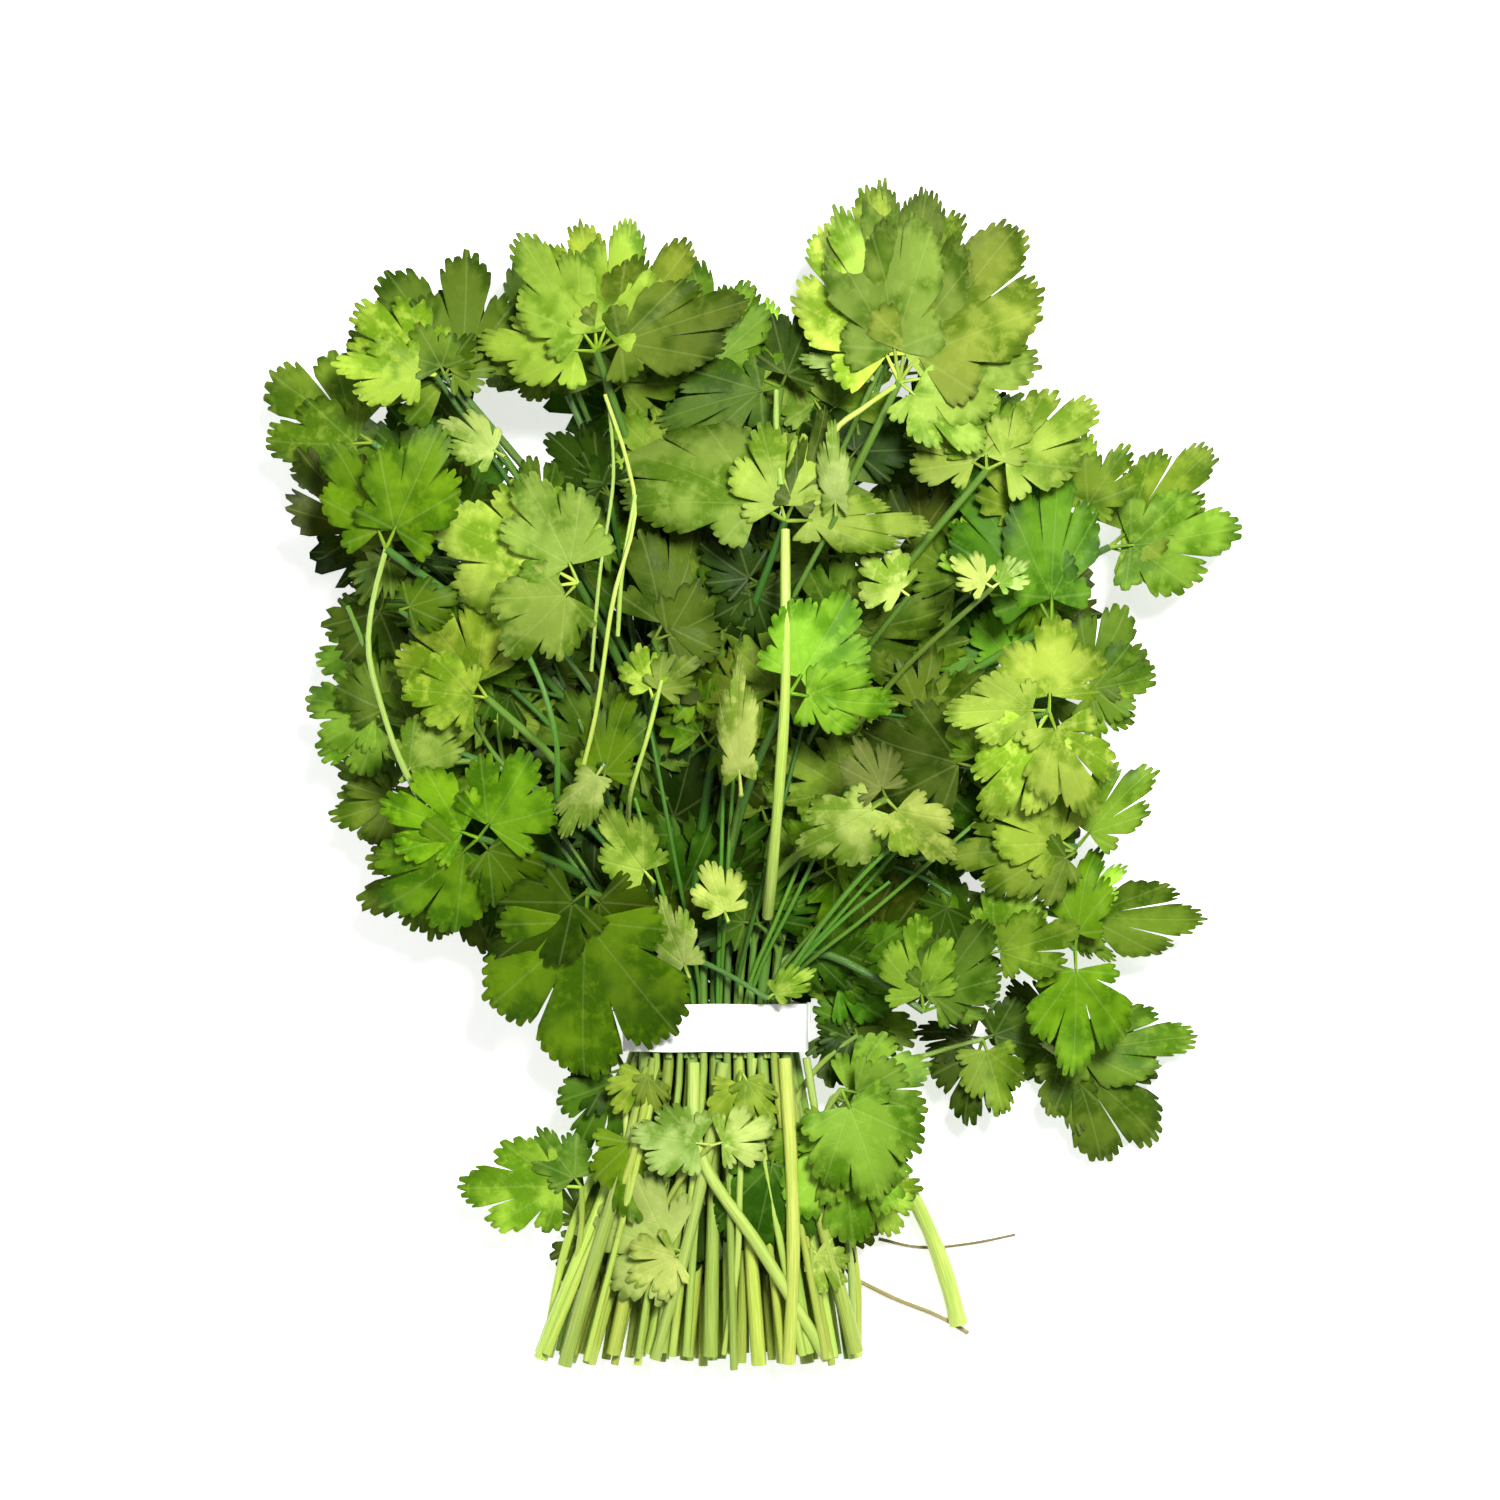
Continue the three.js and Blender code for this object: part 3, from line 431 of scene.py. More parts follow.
class Sheaf:
    """Quads and their attributes, gathered for one piece."""

    ATTRIBUTES = ["tint", "flat", "across", "along", "rim", "under", "blade"]
    VECTORS = {"tint": ("FLOAT_COLOR", "color"), "flat": ("FLOAT_VECTOR", "vector")}

    def __init__(self):
        self.points, self.quads, self.sharp = [], [], []
        self.values = {name: [] for name in self.ATTRIBUTES}
        self.count = 0

    def add(self, points, quads, sharp, **values):
        """Points in any arrangement, with attributes that are spread over it, or zero if not given."""
        shape = points.shape[:-1]
        for name, parts in self.values.items():
            given = np.asarray(values.get(name, 0.0), float)
            if name not in self.VECTORS:
                given = given[..., None]
            width = 3 if name in self.VECTORS else 1
            parts.append(np.broadcast_to(given, (*shape, width)).reshape(-1, width))
        self.points.append(points.reshape(-1, 3))
        self.quads.append(quads + self.count)
        self.sharp.append(sharp)
        self.count += len(self.points[-1])

    def add_sheet(self, top, bottom, **values):
        """A closed sheet: two skins of points in rows and columns, and a sharp rim between them."""
        rows, columns = top.shape[:2]
        size = rows * columns
        index = np.arange(size).reshape(rows, columns)
        corners = [index[:-1, :-1], index[1:, :-1], index[1:, 1:], index[:-1, 1:]]
        skin = np.stack(corners, -1).reshape(-1, 4)
        rim = np.concatenate([index[-1, :], index[-2::-1, -1], index[0, -2::-1], index[1:-1, 0]])
        after = np.roll(rim, -1)
        walls = np.stack([rim, rim + size, after + size, after], -1)
        marks = np.zeros(2 * size, int)
        marks[rim] = 1
        marks[rim + size] = 2
        quads = np.concatenate([skin, skin[:, ::-1] + size, walls])
        self.add(np.stack([top, bottom]), quads, marks, **values)

    def add_tube(self, path, radius, sides, tint):
        """A closed round tube along a path, with its own radius at each point. sides is even."""
        tangent = unit(np.gradient(path, axis=0))
        side = unit(np.cross(tangent, [0.0, 0.0, 1.0]))
        up = np.cross(side, tangent)
        turn = np.linspace(0, 2 * np.pi, sides, endpoint=False)
        ring = side[:, None] * np.cos(turn)[:, None] + up[:, None] * np.sin(turn)[:, None]
        steps = len(path)
        index = np.arange(steps * sides).reshape(steps, sides)
        after = np.roll(index, -1, 1)
        walls = np.stack([index[:-1], after[:-1], after[1:], index[1:]], -1).reshape(-1, 4)
        pairs = np.arange(1, sides - 2, 2)
        cap = np.stack([np.zeros_like(pairs), pairs, pairs + 1, pairs + 2], -1)
        quads = np.concatenate([walls, cap[:, ::-1], cap + (steps - 1) * sides])
        marks = np.zeros(steps * sides, int)
        marks[:sides] = 3
        marks[-sides:] = 4
        along, around = np.meshgrid(lengths_along(path), turn * 3, indexing="ij")
        flat = np.stack([along, around, np.full_like(along, path[0, 0] * 7)], -1)
        self.add(path[:, None] + ring * radius[:, None, None], quads, marks, flat=flat, tint=tint)

    def piece(self, name, material):
        points = np.concatenate(self.points) * MM + SHIFT
        quads = np.concatenate(self.quads)
        mesh = bpy.data.meshes.new(name)
        mesh.vertices.add(len(points))
        mesh.vertices.foreach_set("co", points.astype(np.float32).ravel())
        mesh.loops.add(quads.size)
        mesh.loops.foreach_set("vertex_index", quads.astype(np.int32).ravel())
        mesh.polygons.add(len(quads))
        mesh.polygons.foreach_set("loop_start", np.arange(0, quads.size, 4, dtype=np.int32))
        mesh.update(calc_edges=True)
        mesh.polygons.foreach_set("use_smooth", np.ones(len(quads), bool))
        self.mark_sharp(mesh)
        for key, parts in self.values.items():
            kind, field = self.VECTORS.get(key, ("FLOAT", "value"))
            values = np.concatenate(parts)
            if key == "tint":
                values = np.insert(values, 3, 1, axis=1)
            mesh.attributes.new(key, kind, "POINT").data.foreach_set(field, values.astype(np.float32).ravel())
        mesh.materials.append(material)
        mesh.validate()
        piece = bpy.data.objects.new(name, mesh)
        bpy.context.scene.collection.objects.link(piece)
        return piece

    def mark_sharp(self, mesh):
        """Edges between two points with the same mark are sharp, which keeps a blade's shading clean."""
        marks = np.concatenate(self.sharp)
        ends = np.empty(len(mesh.edges) * 2, np.int32)
        mesh.edges.foreach_get("vertices", ends)
        first, second = marks[ends[::2]], marks[ends[1::2]]
        sharp = mesh.attributes.new("sharp_edge", "BOOLEAN", "EDGE")
        sharp.data.foreach_set("value", (first == second) & (first > 0))


# --- Leaflets ---
def rim_side(rng, cut, blade, style):
    """One half of a leaflet's rim, from its tip to its base: each column's bearing and reach, and the
    middle and the nearer edge of its lobe."""
    half = []
    edge, notch = 0.0, None
    for lobe, (spread, reach, slit) in enumerate(LOBES):
        spread *= rng.uniform(*VARIETY.spread)
        reach *= rng.uniform(*VARIETY.reach) if lobe else 1
        middle = edge + spread if lobe else 0.0
        outer = middle + spread
        wide = math.radians(2 * spread) * reach * blade
        count = max(1, round(wide / style.pitch)) // 2 * 2 + 1
        step = 2 * spread / count

        def crown(turn):
            return reach * (1 - LOBE_ROUNDING * (turn / spread) ** 2)

        def column(bearing, length):
            half.append((bearing, length, middle, edge if bearing < middle else outer))

        for tooth in range(0 if lobe else count // 2, count):
            place = (tooth + 0.5) * step - spread
            jitter = 0.1 * step * (tooth + 0.5 != count / 2)
            bearing = middle + place + rng.uniform(-1, 1) * jitter
            tip = crown(place) * rng.uniform(*VARIETY.tooth)
            if notch and style is FINE:
                column(*shoulder_of(bearing, tip, notch, tooth == 0))
            column(bearing, tip)
            if tooth == count - 1:
                notch = (outer, slit * rng.uniform(*VARIETY.slit) * (1 - cut))
            else:
                dip = style.depth / blade * rng.uniform(*VARIETY.dip)
                notch = (middle + place + step / 2, crown(place + step / 2) - dip)
            column(*shoulder_of(bearing, tip, notch, tooth == count - 1))
            column(*notch)
        edge = outer
    return half


def shoulder_of(bearing, reach, notch, beside_slit):
    """Where a tooth's round shoulder is, on the side of one notch."""
    toward, height = (0.55, 0.78) if beside_slit else (0.6, 0.88)
    return bearing + (notch[0] - bearing) * toward, notch[1] + height * (reach - notch[1])


def leaflet_plan(rng, length, width, cut, style):
    """A leaflet laid flat, its base on the hub and its midrib along u, as arrays of rows from base to rim
    and columns from one side to the other. share is the distance from the base and turned the bearing."""
    blade = length * (1 - PETIOLULE)
    left, right = rim_side(rng, cut, blade, style), rim_side(rng, cut, blade, style)
    mirrored = [(-bearing, reach, -middle, -edge) for bearing, reach, middle, edge in reversed(left)]
    bearing, reach, middle, edge = np.array(mirrored + right[1:], float).T
    rho = np.array(style.rows)[:, None]
    span = np.where(np.abs(edge - middle) > 1e-6, edge - middle, 1)
    part = np.clip((bearing - middle) / span, 0, 1)
    turned = np.radians(middle + span * part ** (1 + 1.1 * (1 - rho)))
    inner = np.minimum(0.68, 1.15 * reach)
    radius = blade * rho * (inner + (reach - inner) * rho ** 1.5)
    u = length * PETIOLULE + radius * np.cos(turned)
    v = radius * np.sin(turned) * width
    v = v + rng.uniform(-0.12, 0.12) * u * u / length
    swung = turned - np.radians(middle)
    return SimpleNamespace(
        u=u, v=v, share=radius / blade, turned=turned, rho=np.broadcast_to(rho, u.shape),
        across=np.abs(radius * np.sin(swung)) * (0.4 + 0.6 * width), along=radius * np.cos(swung),
    )


def over_lobes(rng, plan, low, high):
    """A random value for each lobe, blended smoothly from lobe to lobe round the leaflet."""
    values = rng.uniform(low, high, len(LOBE_BEARINGS))
    place = np.interp(plan.turned, LOBE_BEARINGS, np.arange(len(values)))
    below = np.clip(np.floor(place).astype(int), 0, len(values) - 2)
    return values[below] + (values[below + 1] - values[below]) * smooth(0, 1, place - below)


def leaflet_height(rng, plan, length, curl):
    """The leaflet's own relief: it folds at the midrib, each lobe lifts or sinks and is arched or dished
    across, and the rim ruffles."""
    share = plan.share
    lift = over_lobes(rng, plan, *RELIEF.lift) * smooth(0.2, 1.0, share) * share * length
    arch = over_lobes(rng, plan, *RELIEF.arch) * plan.across ** 2
    waves = np.sin(plan.turned * rng.uniform(*RELIEF.waves) + rng.uniform(*RELIEF.phase))
    ruffle = RELIEF.ruffle * length * share ** 3 * waves
    tip = rng.uniform(*RELIEF.tip) * length * np.maximum(0, share - 0.5) ** 2 * 4
    fold = CUP + rng.uniform(*RELIEF.fold) * curl
    bend = DROOP + rng.uniform(*RELIEF.bend) * curl
    folded = fold * (np.sqrt(plan.v ** 2 + 1.5) - 1.2)
    return folded - bend * plan.u ** 2 + (lift + arch + ruffle + tip) * curl


def leaflet_tint(rng, tint, plan):
    """The leaflet's colour at each point: its lobes differ a little, and it fades from its base to its
    rim or the other way round."""
    lobes = over_lobes(rng, plan, -1, 1)
    change = 1 + 0.2 * lobes * smooth(0.1, 0.7, plan.share) + rng.uniform(-0.35, 0.25) * (plan.share - 0.5)
    return tint * change[..., None]


def drape(local, hub, level, heading, pitch, roll):
    """Tilts a leaflet, turns it to the bunch's frame, and lays it along the dome and off the floor."""
    u, v, w = local
    u, w = turned(u, w, pitch)
    v, w = turned(v, w, roll * np.clip(u / max(u.max(), 1e-6), 0, 1))
    ahead, aside = turned(u, v, heading)
    x, y = hub[0] + ahead, hub[1] + aside
    z = hub[2] + w + level * (dome_height(x, y) - dome_height(hub[0], hub[1]))
    low = FLOOR_GAP + 0.12 * np.abs(np.sin(u * 0.9) + np.cos(v * 1.1))
    return x, y, np.maximum(z, low)


def add_leaflet(sheaf, rng, hub, level, spec, tint, cut, curl=1.0, style=FINE):
    """One closed leaflet with its stalk: two skins, a rim between them, and a rib under the blade."""
    heading, length, width, pitch, roll = spec
    plan = leaflet_plan(rng, length, width, cut, style)
    w = leaflet_height(rng, plan, length, curl)
    place = (hub, level, *(math.radians(angle) for angle in (heading, pitch, roll)))
    x, y, z = drape((plan.u, plan.v, w), *place)
    thick = BLADE.rim + BLADE.swell * (1 - plan.rho)
    rib = BLADE.rib * (plan.across < 0.05) * (1 - plan.rho)
    sheaf.add_sheet(
        np.stack([x, y, z + thick], -1), np.stack([x, y, z - thick - rib], -1),
        flat=np.stack([plan.u, plan.v, np.full(x.shape, rng.uniform(0, 400))], -1),
        tint=leaflet_tint(rng, tint, plan), across=plan.across, along=plan.along, rim=plan.rho,
        under=np.array([0.0, 1.0])[:, None, None], blade=1.0,
    )
    add_stalk(sheaf, plan, w, place, length, tint)


def add_stalk(sheaf, plan, height, place, length, tint):
    """The leaflet's stalk, from the hub into the blade, where it tapers out as the midrib."""
    rows, columns = plan.u.shape
    middle = columns // 2
    inside = slice(0, int(rows * 0.6))
    along, across, up = (
        np.concatenate([[0, part[0, middle] * 0.5], part[inside, middle]])
        for part in (plan.u, plan.v, height)
    )
    x, y, z = drape((along, across, up), *place)
    radius = np.interp(along, [0, length * PETIOLULE, length * 0.6], [0.5, 0.34, 0.08]) * (0.7 + length / 100)
    own = tint * 0.85 + linear(STEM_TONES["fresh"][0]) * 0.15
    sheaf.add_tube(np.stack([x, y, z - 0.15], -1), radius, 6, own)


def tint_of(rng, tone, spread=0.09):
    """A leaflet's own colour: its tone, a little brighter or darker, yellower or bluer."""
    colour = linear(TONES[tone]) * (1 + rng.uniform(-spread, spread))
    warm = rng.uniform(-1, 1) * spread
    return np.clip(colour * np.array([1 + warm, 1.0, 1 - warm]), 0, 1)


# --- Stems ---
def slots_of(leaves, columns=PACK.columns):
    """The frame's slots in the tie: leaves ranked by level into rows, each from left to right."""
    ranked = sorted(range(len(leaves)), key=lambda index: leaves[index][3])
    slots = [None] * len(leaves)
    for start in range(0, len(ranked), columns):
        row = start // columns
        mates = sorted(
            ranked[start:start + columns],
            key=lambda index: math.atan2(leaves[index][1] - TIE.x, leaves[index][2] - TIE.y),
        )
        for column, index in enumerate(mates):
            offset = (column - (columns - 1) / 2) * PACK.pitch_x
            slots[index] = (offset, PACK.lowest + row * PACK.pitch_z, row)
    return slots


def smooth_path(points, steps):
    """A centripetal Catmull-Rom curve through the points, as evenly spaced points."""
    points = np.asarray(points, float)
    padded = np.vstack([2 * points[0] - points[1], points, 2 * points[-1] - points[-2]])
    found = []
    for a, b, c, d in zip(padded, padded[1:], padded[2:], padded[3:]):
        gaps = [max(np.linalg.norm(q - p), 1e-6) ** 0.5 for p, q in ((a, b), (b, c), (c, d))]
        t0, t1, t2, t3 = 0, gaps[0], gaps[0] + gaps[1], sum(gaps)
        t = np.linspace(t1, t2, 12, endpoint=False)[:, None]
        ab = (t1 - t) / (t1 - t0) * a + (t - t0) / (t1 - t0) * b
        bc = (t2 - t) / (t2 - t1) * b + (t - t1) / (t2 - t1) * c
        cd = (t3 - t) / (t3 - t2) * c + (t - t2) / (t3 - t2) * d
        abc = (t2 - t) / (t2 - t0) * ab + (t - t0) / (t2 - t0) * bc
        bcd = (t3 - t) / (t3 - t1) * bc + (t - t1) / (t3 - t1) * cd
        found.append((t2 - t) / (t2 - t1) * abc + (t - t1) / (t2 - t1) * bcd)
    dense = np.vstack([*found, points[-1]])
    distance = lengths_along(dense)
    even = np.linspace(0, distance[-1], steps + 1)
    return np.stack([np.interp(even, distance, dense[:, axis]) for axis in range(3)], -1)


def bent_line(start, control, end, shares):
    """A quadratic curve from start to end, pulled towards control."""
    t = np.asarray(shares)[:, None]
    return (1 - t) ** 2 * start + 2 * t * (1 - t) * control + t * t * end


def stem_path(hub, slot, index, stray=(0.0, 0.0)):
    """The frame's own route for a stem: cut end, tie, rise to its leaf's hub. stray moves the cut end."""
    offset, height, row = slot
    stagger = (0.5 if row % 2 else 0) * PACK.pitch_x
    cut = (
        CUT.x + (offset + stagger - PACK.pitch_x / 4) * CUT.spread + stray[0],
        CUT.y + CUT.unevenness * scatter(index, 0) + stray[1],
        CUT.lowest + (height - PACK.lowest) * CUT.squeeze,
    )
    through = [(TIE.x + offset, TIE.y + side * TIE.length, height) for side in (-1, 0, 1)]
    out = np.array(through[-1])
    end = np.array([hub[0], hub[1], max(hub[2], HUB_RADIUS)])
    reach = math.hypot(end[0] - out[0], end[1] - out[1])
    control = np.array([out[0], out[1] + reach * 0.5, out[2] + (end[2] - out[2]) * 0.3])
    return smooth_path([cut, *through, *bent_line(out, control, end, [0.25, 0.5, 0.75, 1])], STEM.steps)


def add_stem(sheaf, rng, path, base, tip, sides=STEM.sides, tone="fresh"):
    share = np.linspace(0, 1, len(path))
    radius = (base + (tip - base) * share) * (1 + 0.05 * np.sin(share * 17 + rng.uniform(0, 6)))
    shade = rng.uniform(0.68, 1.08) * (1 + rng.uniform(-0.1, 0.1) * np.array([1, 0, -1]))
    pale, deep = (linear(rgb) * shade for rgb in STEM_TONES[tone])
    low, high = (TIE.y + y for y in GREENING_AND_SHADE)
    # Past the tie a stem turns darker green: partly its own greening, partly painted shade under the crown.
    greener = smooth(low, high, path[:, 1])[:, None, None] * rng.uniform(0.7, 1.0)
    sheaf.add_tube(path, radius, sides, pale + (deep - pale) * greener)


def branch_path(trunks, hub):
    """A petiole from the stem that offers the best start: behind the hub, and pointing towards it."""
    hub = np.array(hub, float)
    best, found = math.inf, None
    for trunk in trunks:
        tangents = unit(np.gradient(trunk, axis=0))
        reach = hub - trunk
        distance = np.linalg.norm(reach, axis=1)
        turn = 1 - (reach * tangents).sum(1) / np.maximum(distance, 1e-6)
        cost = np.abs(distance - BRANCH.distance) + BRANCH.turn * turn
        cost = cost + 100 * (distance < BRANCH.nearest)
        if hub[1] > TIE.y:
            across_tie = trunk[:, 1] < TIE.y + TIE.length
        else:
            across_tie = trunk[:, 1] > TIE.y - 8
        cost = cost + 500 * across_tie
        at = int(np.argmin(cost[:-2]))
        if cost[at] < best:
            best, found = cost[at], (trunk[at], tangents[at], distance[at])
    start, tangent, distance = found
    bend = start + tangent * distance * BRANCH.bend
    return bent_line(start, bend, hub, np.linspace(0, 1, BRANCH.steps + 1))


def inside_crown(x, y, margin=0.0):
    """Whether a point is inside the crown's outline, at least margin from it."""
    edge = np.array(CROWN_EDGE, float)
    after = np.roll(edge, -1, 0)
    side = (edge[:, 1] > y) != (after[:, 1] > y)
    rise = np.where(after[:, 1] == edge[:, 1], 1e-9, after[:, 1] - edge[:, 1])
    crossings = side & (x < edge[:, 0] + (y - edge[:, 1]) * (after[:, 0] - edge[:, 0]) / rise)
    if crossings.sum() % 2 == 0:
        return False
    along = after - edge
    share = np.clip(((np.array([x, y]) - edge) * along).sum(1) / (along ** 2).sum(1), 0, 1)
    nearest = edge + along * share[:, None]
    return np.hypot(nearest[:, 0] - x, nearest[:, 1] - y).min() >= margin


def leaflet_fits(hub, heading, length):
    """Whether a filling leaflet stays in the crown's outline and off its openings."""
    for share in (0.45, 0.75, 1.0):
        x = hub[0] + length * share * math.cos(math.radians(heading))
        y = hub[1] + length * share * math.sin(math.radians(heading))
        if not inside_crown(x, y, 1.0):
            return False
        if any(math.hypot(x - gx, y - gy) < radius + 0.3 * length for gx, gy, radius in OPENINGS):
            return False
    return True


# --- Materials ---
class Nodes:
    """A short way to write a node tree."""

    def __init__(self, name):
        self.material = bpy.data.materials.new(name)
        self.material.use_nodes = True
        self.tree = self.material.node_tree
        self.tree.nodes.clear()
        self.output = self.tree.nodes.new("ShaderNodeOutputMaterial")

    def node(self, kind, links=None, **settings):
        node = self.tree.nodes.new("ShaderNode" + kind)
        for key, value in settings.items():
            setattr(node, key, value)
        for key, value in (links or {}).items():
            self.put(node, key, value)
        return node

    def put(self, node, key, value):
        socket = node.inputs[key]
        if isinstance(value, bpy.types.NodeSocket):
            self.tree.links.new(value, socket)
        else:
            socket.default_value = value

    def attribute(self, name, output="Fac"):
        return self.node("Attribute", attribute_name=name).outputs[output]

    def math(self, operation, a, b=0.0, c=0.0, clamp=False):
        node = self.node("Math", {0: a, 1: b, 2: c}, operation=operation, use_clamp=clamp)
        return node.outputs[0]

    def times(self, a, b):
        return self.math("MULTIPLY", a, b)

    def ramp(self, value, low, high, to_low=0.0, to_high=1.0):
        links = {"Value": value, "From Min": low, "From Max": high, "To Min": to_low, "To Max": to_high}
        return self.node("MapRange", links, interpolation_type="SMOOTHSTEP").outputs["Result"]

    def mix(self, factor, a, b, blend="MIX"):
        node = self.node("Mix", data_type="RGBA", blend_type=blend)
        for key, value in ((0, factor), (6, a), (7, b)):
            self.put(node, key, value)
        return node.outputs[2]

    def tinted(self, tint, red, green, blue):
        return self.mix(1.0, tint, (red, green, blue, 1), "MULTIPLY")

    def noise(self, vector, scale, detail=3.0, roughness=0.5):
        links = {"Vector": vector, "Scale": scale, "Detail": detail, "Roughness": roughness}
        return self.node("TexNoise", links).outputs["Fac"]

    def bump(self, height, strength, distance):
        links = {"Height": height, "Strength": strength, "Distance": distance}
        return self.node("Bump", links).outputs["Normal"]

    def skin(self, base, rough, sockets):
        return self.node("BsdfPrincipled", {"Base Color": base, "Roughness": rough, **sockets}).outputs[0]

    def finish(self, shader):
        self.tree.links.new(shader, self.output.inputs["Surface"])
        return self.material


def colour(rgb):
    return (*linear(rgb), 1)


def leaf_material():
    """Fresh leaf: its leaflet's tint in light and dark patches, partly its own mottled tone and partly
    painted shade and painted highlight, a dark toothed rim, faint pale veins with side veins, and a
    paler, duller underside."""
    m = Nodes("coriander_leaf")
    tint = m.attribute("tint", "Color")
    flat = m.attribute("flat", "Vector")
    under, blade, rim, across = (m.attribute(name) for name in ("under", "blade", "rim", "across"))
    inward = m.math("SUBTRACT", 1.0, rim, clamp=True)
    main = m.times(m.ramp(across, 0.08, 0.4, 1.0, 0.0), blade)
    slanted = m.math("MULTIPLY_ADD", across, -0.85, m.attribute("along"))
    vein_spacing = 3.1
    phase = m.math("FRACT", m.math("DIVIDE", slanted, vein_spacing))
    wave = m.math("ABSOLUTE", m.math("SUBTRACT", phase, 0.5))
    side = m.times(m.ramp(wave, 0.4, 0.49), m.times(m.ramp(inward, 0.05, 0.35), blade))
    # The dark patches and the pale spots and specks are partly the leaf's own mottled tone and partly painted
    # shade and painted highlight, where a curved blade would be shaded or lit.
    patches = m.noise(flat, 0.085, 2.0)
    spots = m.noise(flat, 0.3, 3.0, 0.6)
    fine = m.noise(flat, 0.9, 4.0, 0.6)
    darker = m.tinted(tint, 0.42, 0.56, 0.2)
    lighter = m.tinted(tint, 1.34, 1.24, 1.5)
    base = m.mix(m.ramp(patches, 0.4, 0.57), darker, tint)
    base = m.mix(m.ramp(spots, 0.48, 0.68, 0.0, 0.55), base, lighter)
    base = m.mix(m.ramp(fine, 0.5, 0.8, 0.0, 0.2), base, lighter)
    # Darker at the toothed rim, in spots.
    worn = m.times(m.ramp(rim, 0.86, 1.0), m.ramp(spots, 0.38, 0.6, 0.75, 0.2))
    base = m.mix(worn, base, m.tinted(tint, 0.2, 0.27, 0.1))
    base = m.mix(m.times(side, 0.1), base, lighter)
    base = m.mix(m.times(main, 0.13), base, m.mix(0.6, tint, colour((214, 232, 140))))
    duller = m.mix(0.42, base, colour((150, 178, 112)))
    base = m.mix(m.times(under, blade), base, duller)
    veins = m.math("MULTIPLY_ADD", main, -0.6, m.times(fine, 0.6))
    bump = m.bump(m.math("MULTIPLY_ADD", side, -0.35, veins), 0.3, 0.0004)
    rough = m.math("ADD", m.ramp(fine, 0.3, 0.7, 0.36, 0.5), m.times(under, 0.2))
    skin = m.skin(base, rough, {"Normal": bump, "IOR": 1.42, "Specular IOR Level": 0.1})
    glow = m.node("BsdfTranslucent", {"Color": m.tinted(base, 1.15, 1.1, 0.5), "Normal": bump})
    return m.finish(m.node("MixShader", {0: m.times(blade, 0.3), 1: skin, 2: glow.outputs[0]}).outputs[0])


def stem_material():
    """Juicy stem: fine lengthwise ribs and faint greener streaks."""
    m = Nodes("coriander_stem")
    tint = m.attribute("tint", "Color")
    flat = m.attribute("flat", "Vector")
    stretched = m.node("Mapping", {"Vector": flat, "Scale": (0.06, 1.1, 1.0)}).outputs["Vector"]
    ribs = m.noise(stretched, 1.6, 2.0)
    blotch = m.noise(flat, 0.12, 3.0)
    base = m.mix(m.ramp(ribs, 0.35, 0.65), m.tinted(tint, 0.74, 0.86, 0.6), tint)
    base = m.mix(m.ramp(blotch, 0.5, 0.75, 0.0, 0.5), base, m.tinted(tint, 0.72, 0.84, 0.66))
    rough = m.ramp(blotch, 0.3, 0.7, 0.32, 0.46)
    juicy = {"Subsurface Weight": 0.15, "Subsurface Radius": (0.5, 0.8, 0.2), "Subsurface Scale": 0.001}
    return m.finish(m.skin(base, rough, {"Normal": m.bump(ribs, 0.5, 0.0005), **juicy}))


def tie_material():
    """White paper-like strip with faint fibres and soft creases, painted a little greyer along the creases as
    painted shade.
    """
    m = Nodes("paper_tie")
    place = m.node("TexCoord").outputs["Object"]
    fibres = m.noise(place, 900.0, 5.0, 0.65)
    crease = m.noise(place, 160.0, 2.0)
    # Greyer where the creases are: painted shade.
    base = m.mix(m.ramp(crease, 0.4, 0.75), colour((250, 250, 246)), colour((238, 239, 232)))
    bump = m.bump(m.math("MULTIPLY_ADD", crease, 2.0, fibres), 0.3, 0.0003)
    return m.finish(m.skin(base, m.ramp(fibres, 0.3, 0.7, 0.5, 0.7), {"Normal": bump}))


def floor_material():
    m = Nodes("pale_floor")
    white = (1, 1, 1, 1)
    return m.finish(m.skin((0.9, 0.9, 0.9, 1), 0.9, {"Emission Color": white, "Emission Strength": 0.64}))


# The pieces' materials, by the first part of their slots' names.
SKINS = {"leaf": leaf_material(), "stem": stem_material(), "tie": tie_material()}


# --- Camera, floor and light ---
def link(name, data):
    thing = bpy.data.objects.new(name, data)
    bpy.context.scene.collection.objects.link(thing)
    return thing


def add_camera():
    data = bpy.data.cameras.new("camera")
    data.lens = CAMERA.lens
    data.sensor_width = CAMERA.sensor
    distance = CAMERA.frame_width * MM * data.lens / data.sensor_width
    camera = link("camera", data)
    camera.location = (SHIFT[0], SHIFT[1] + CAMERA.ahead * MM, CAMERA.middle_height * MM + distance)
    bpy.context.scene.camera = camera


def add_floor():
    half = 2.5
    mesh = bpy.data.meshes.new("floor")
    corners = [(-half, -half, 0), (half, -half, 0), (half, half, 0), (-half, half, 0)]
    mesh.from_pydata(corners, [], [(0, 1, 2, 3)])
    mesh.materials.append(floor_material())
    link("floor", mesh)


def add_light(name, place, size, power):
    """A round lamp that points at the middle of the bunch."""
    data = bpy.data.lights.new(name, "AREA")
    data.shape = "DISK"
    data.size = size
    data.energy = power
    lamp = link(name, data)
    lamp.location = place
    direction = np.array([0, 0, LAMP_TARGET]) - np.array(place)
    yaw = math.atan2(direction[1], direction[0])
    tilt = math.atan2(-direction[2], math.hypot(direction[0], direction[1]))
    lamp.rotation_euler = (0, tilt - math.pi / 2, yaw)


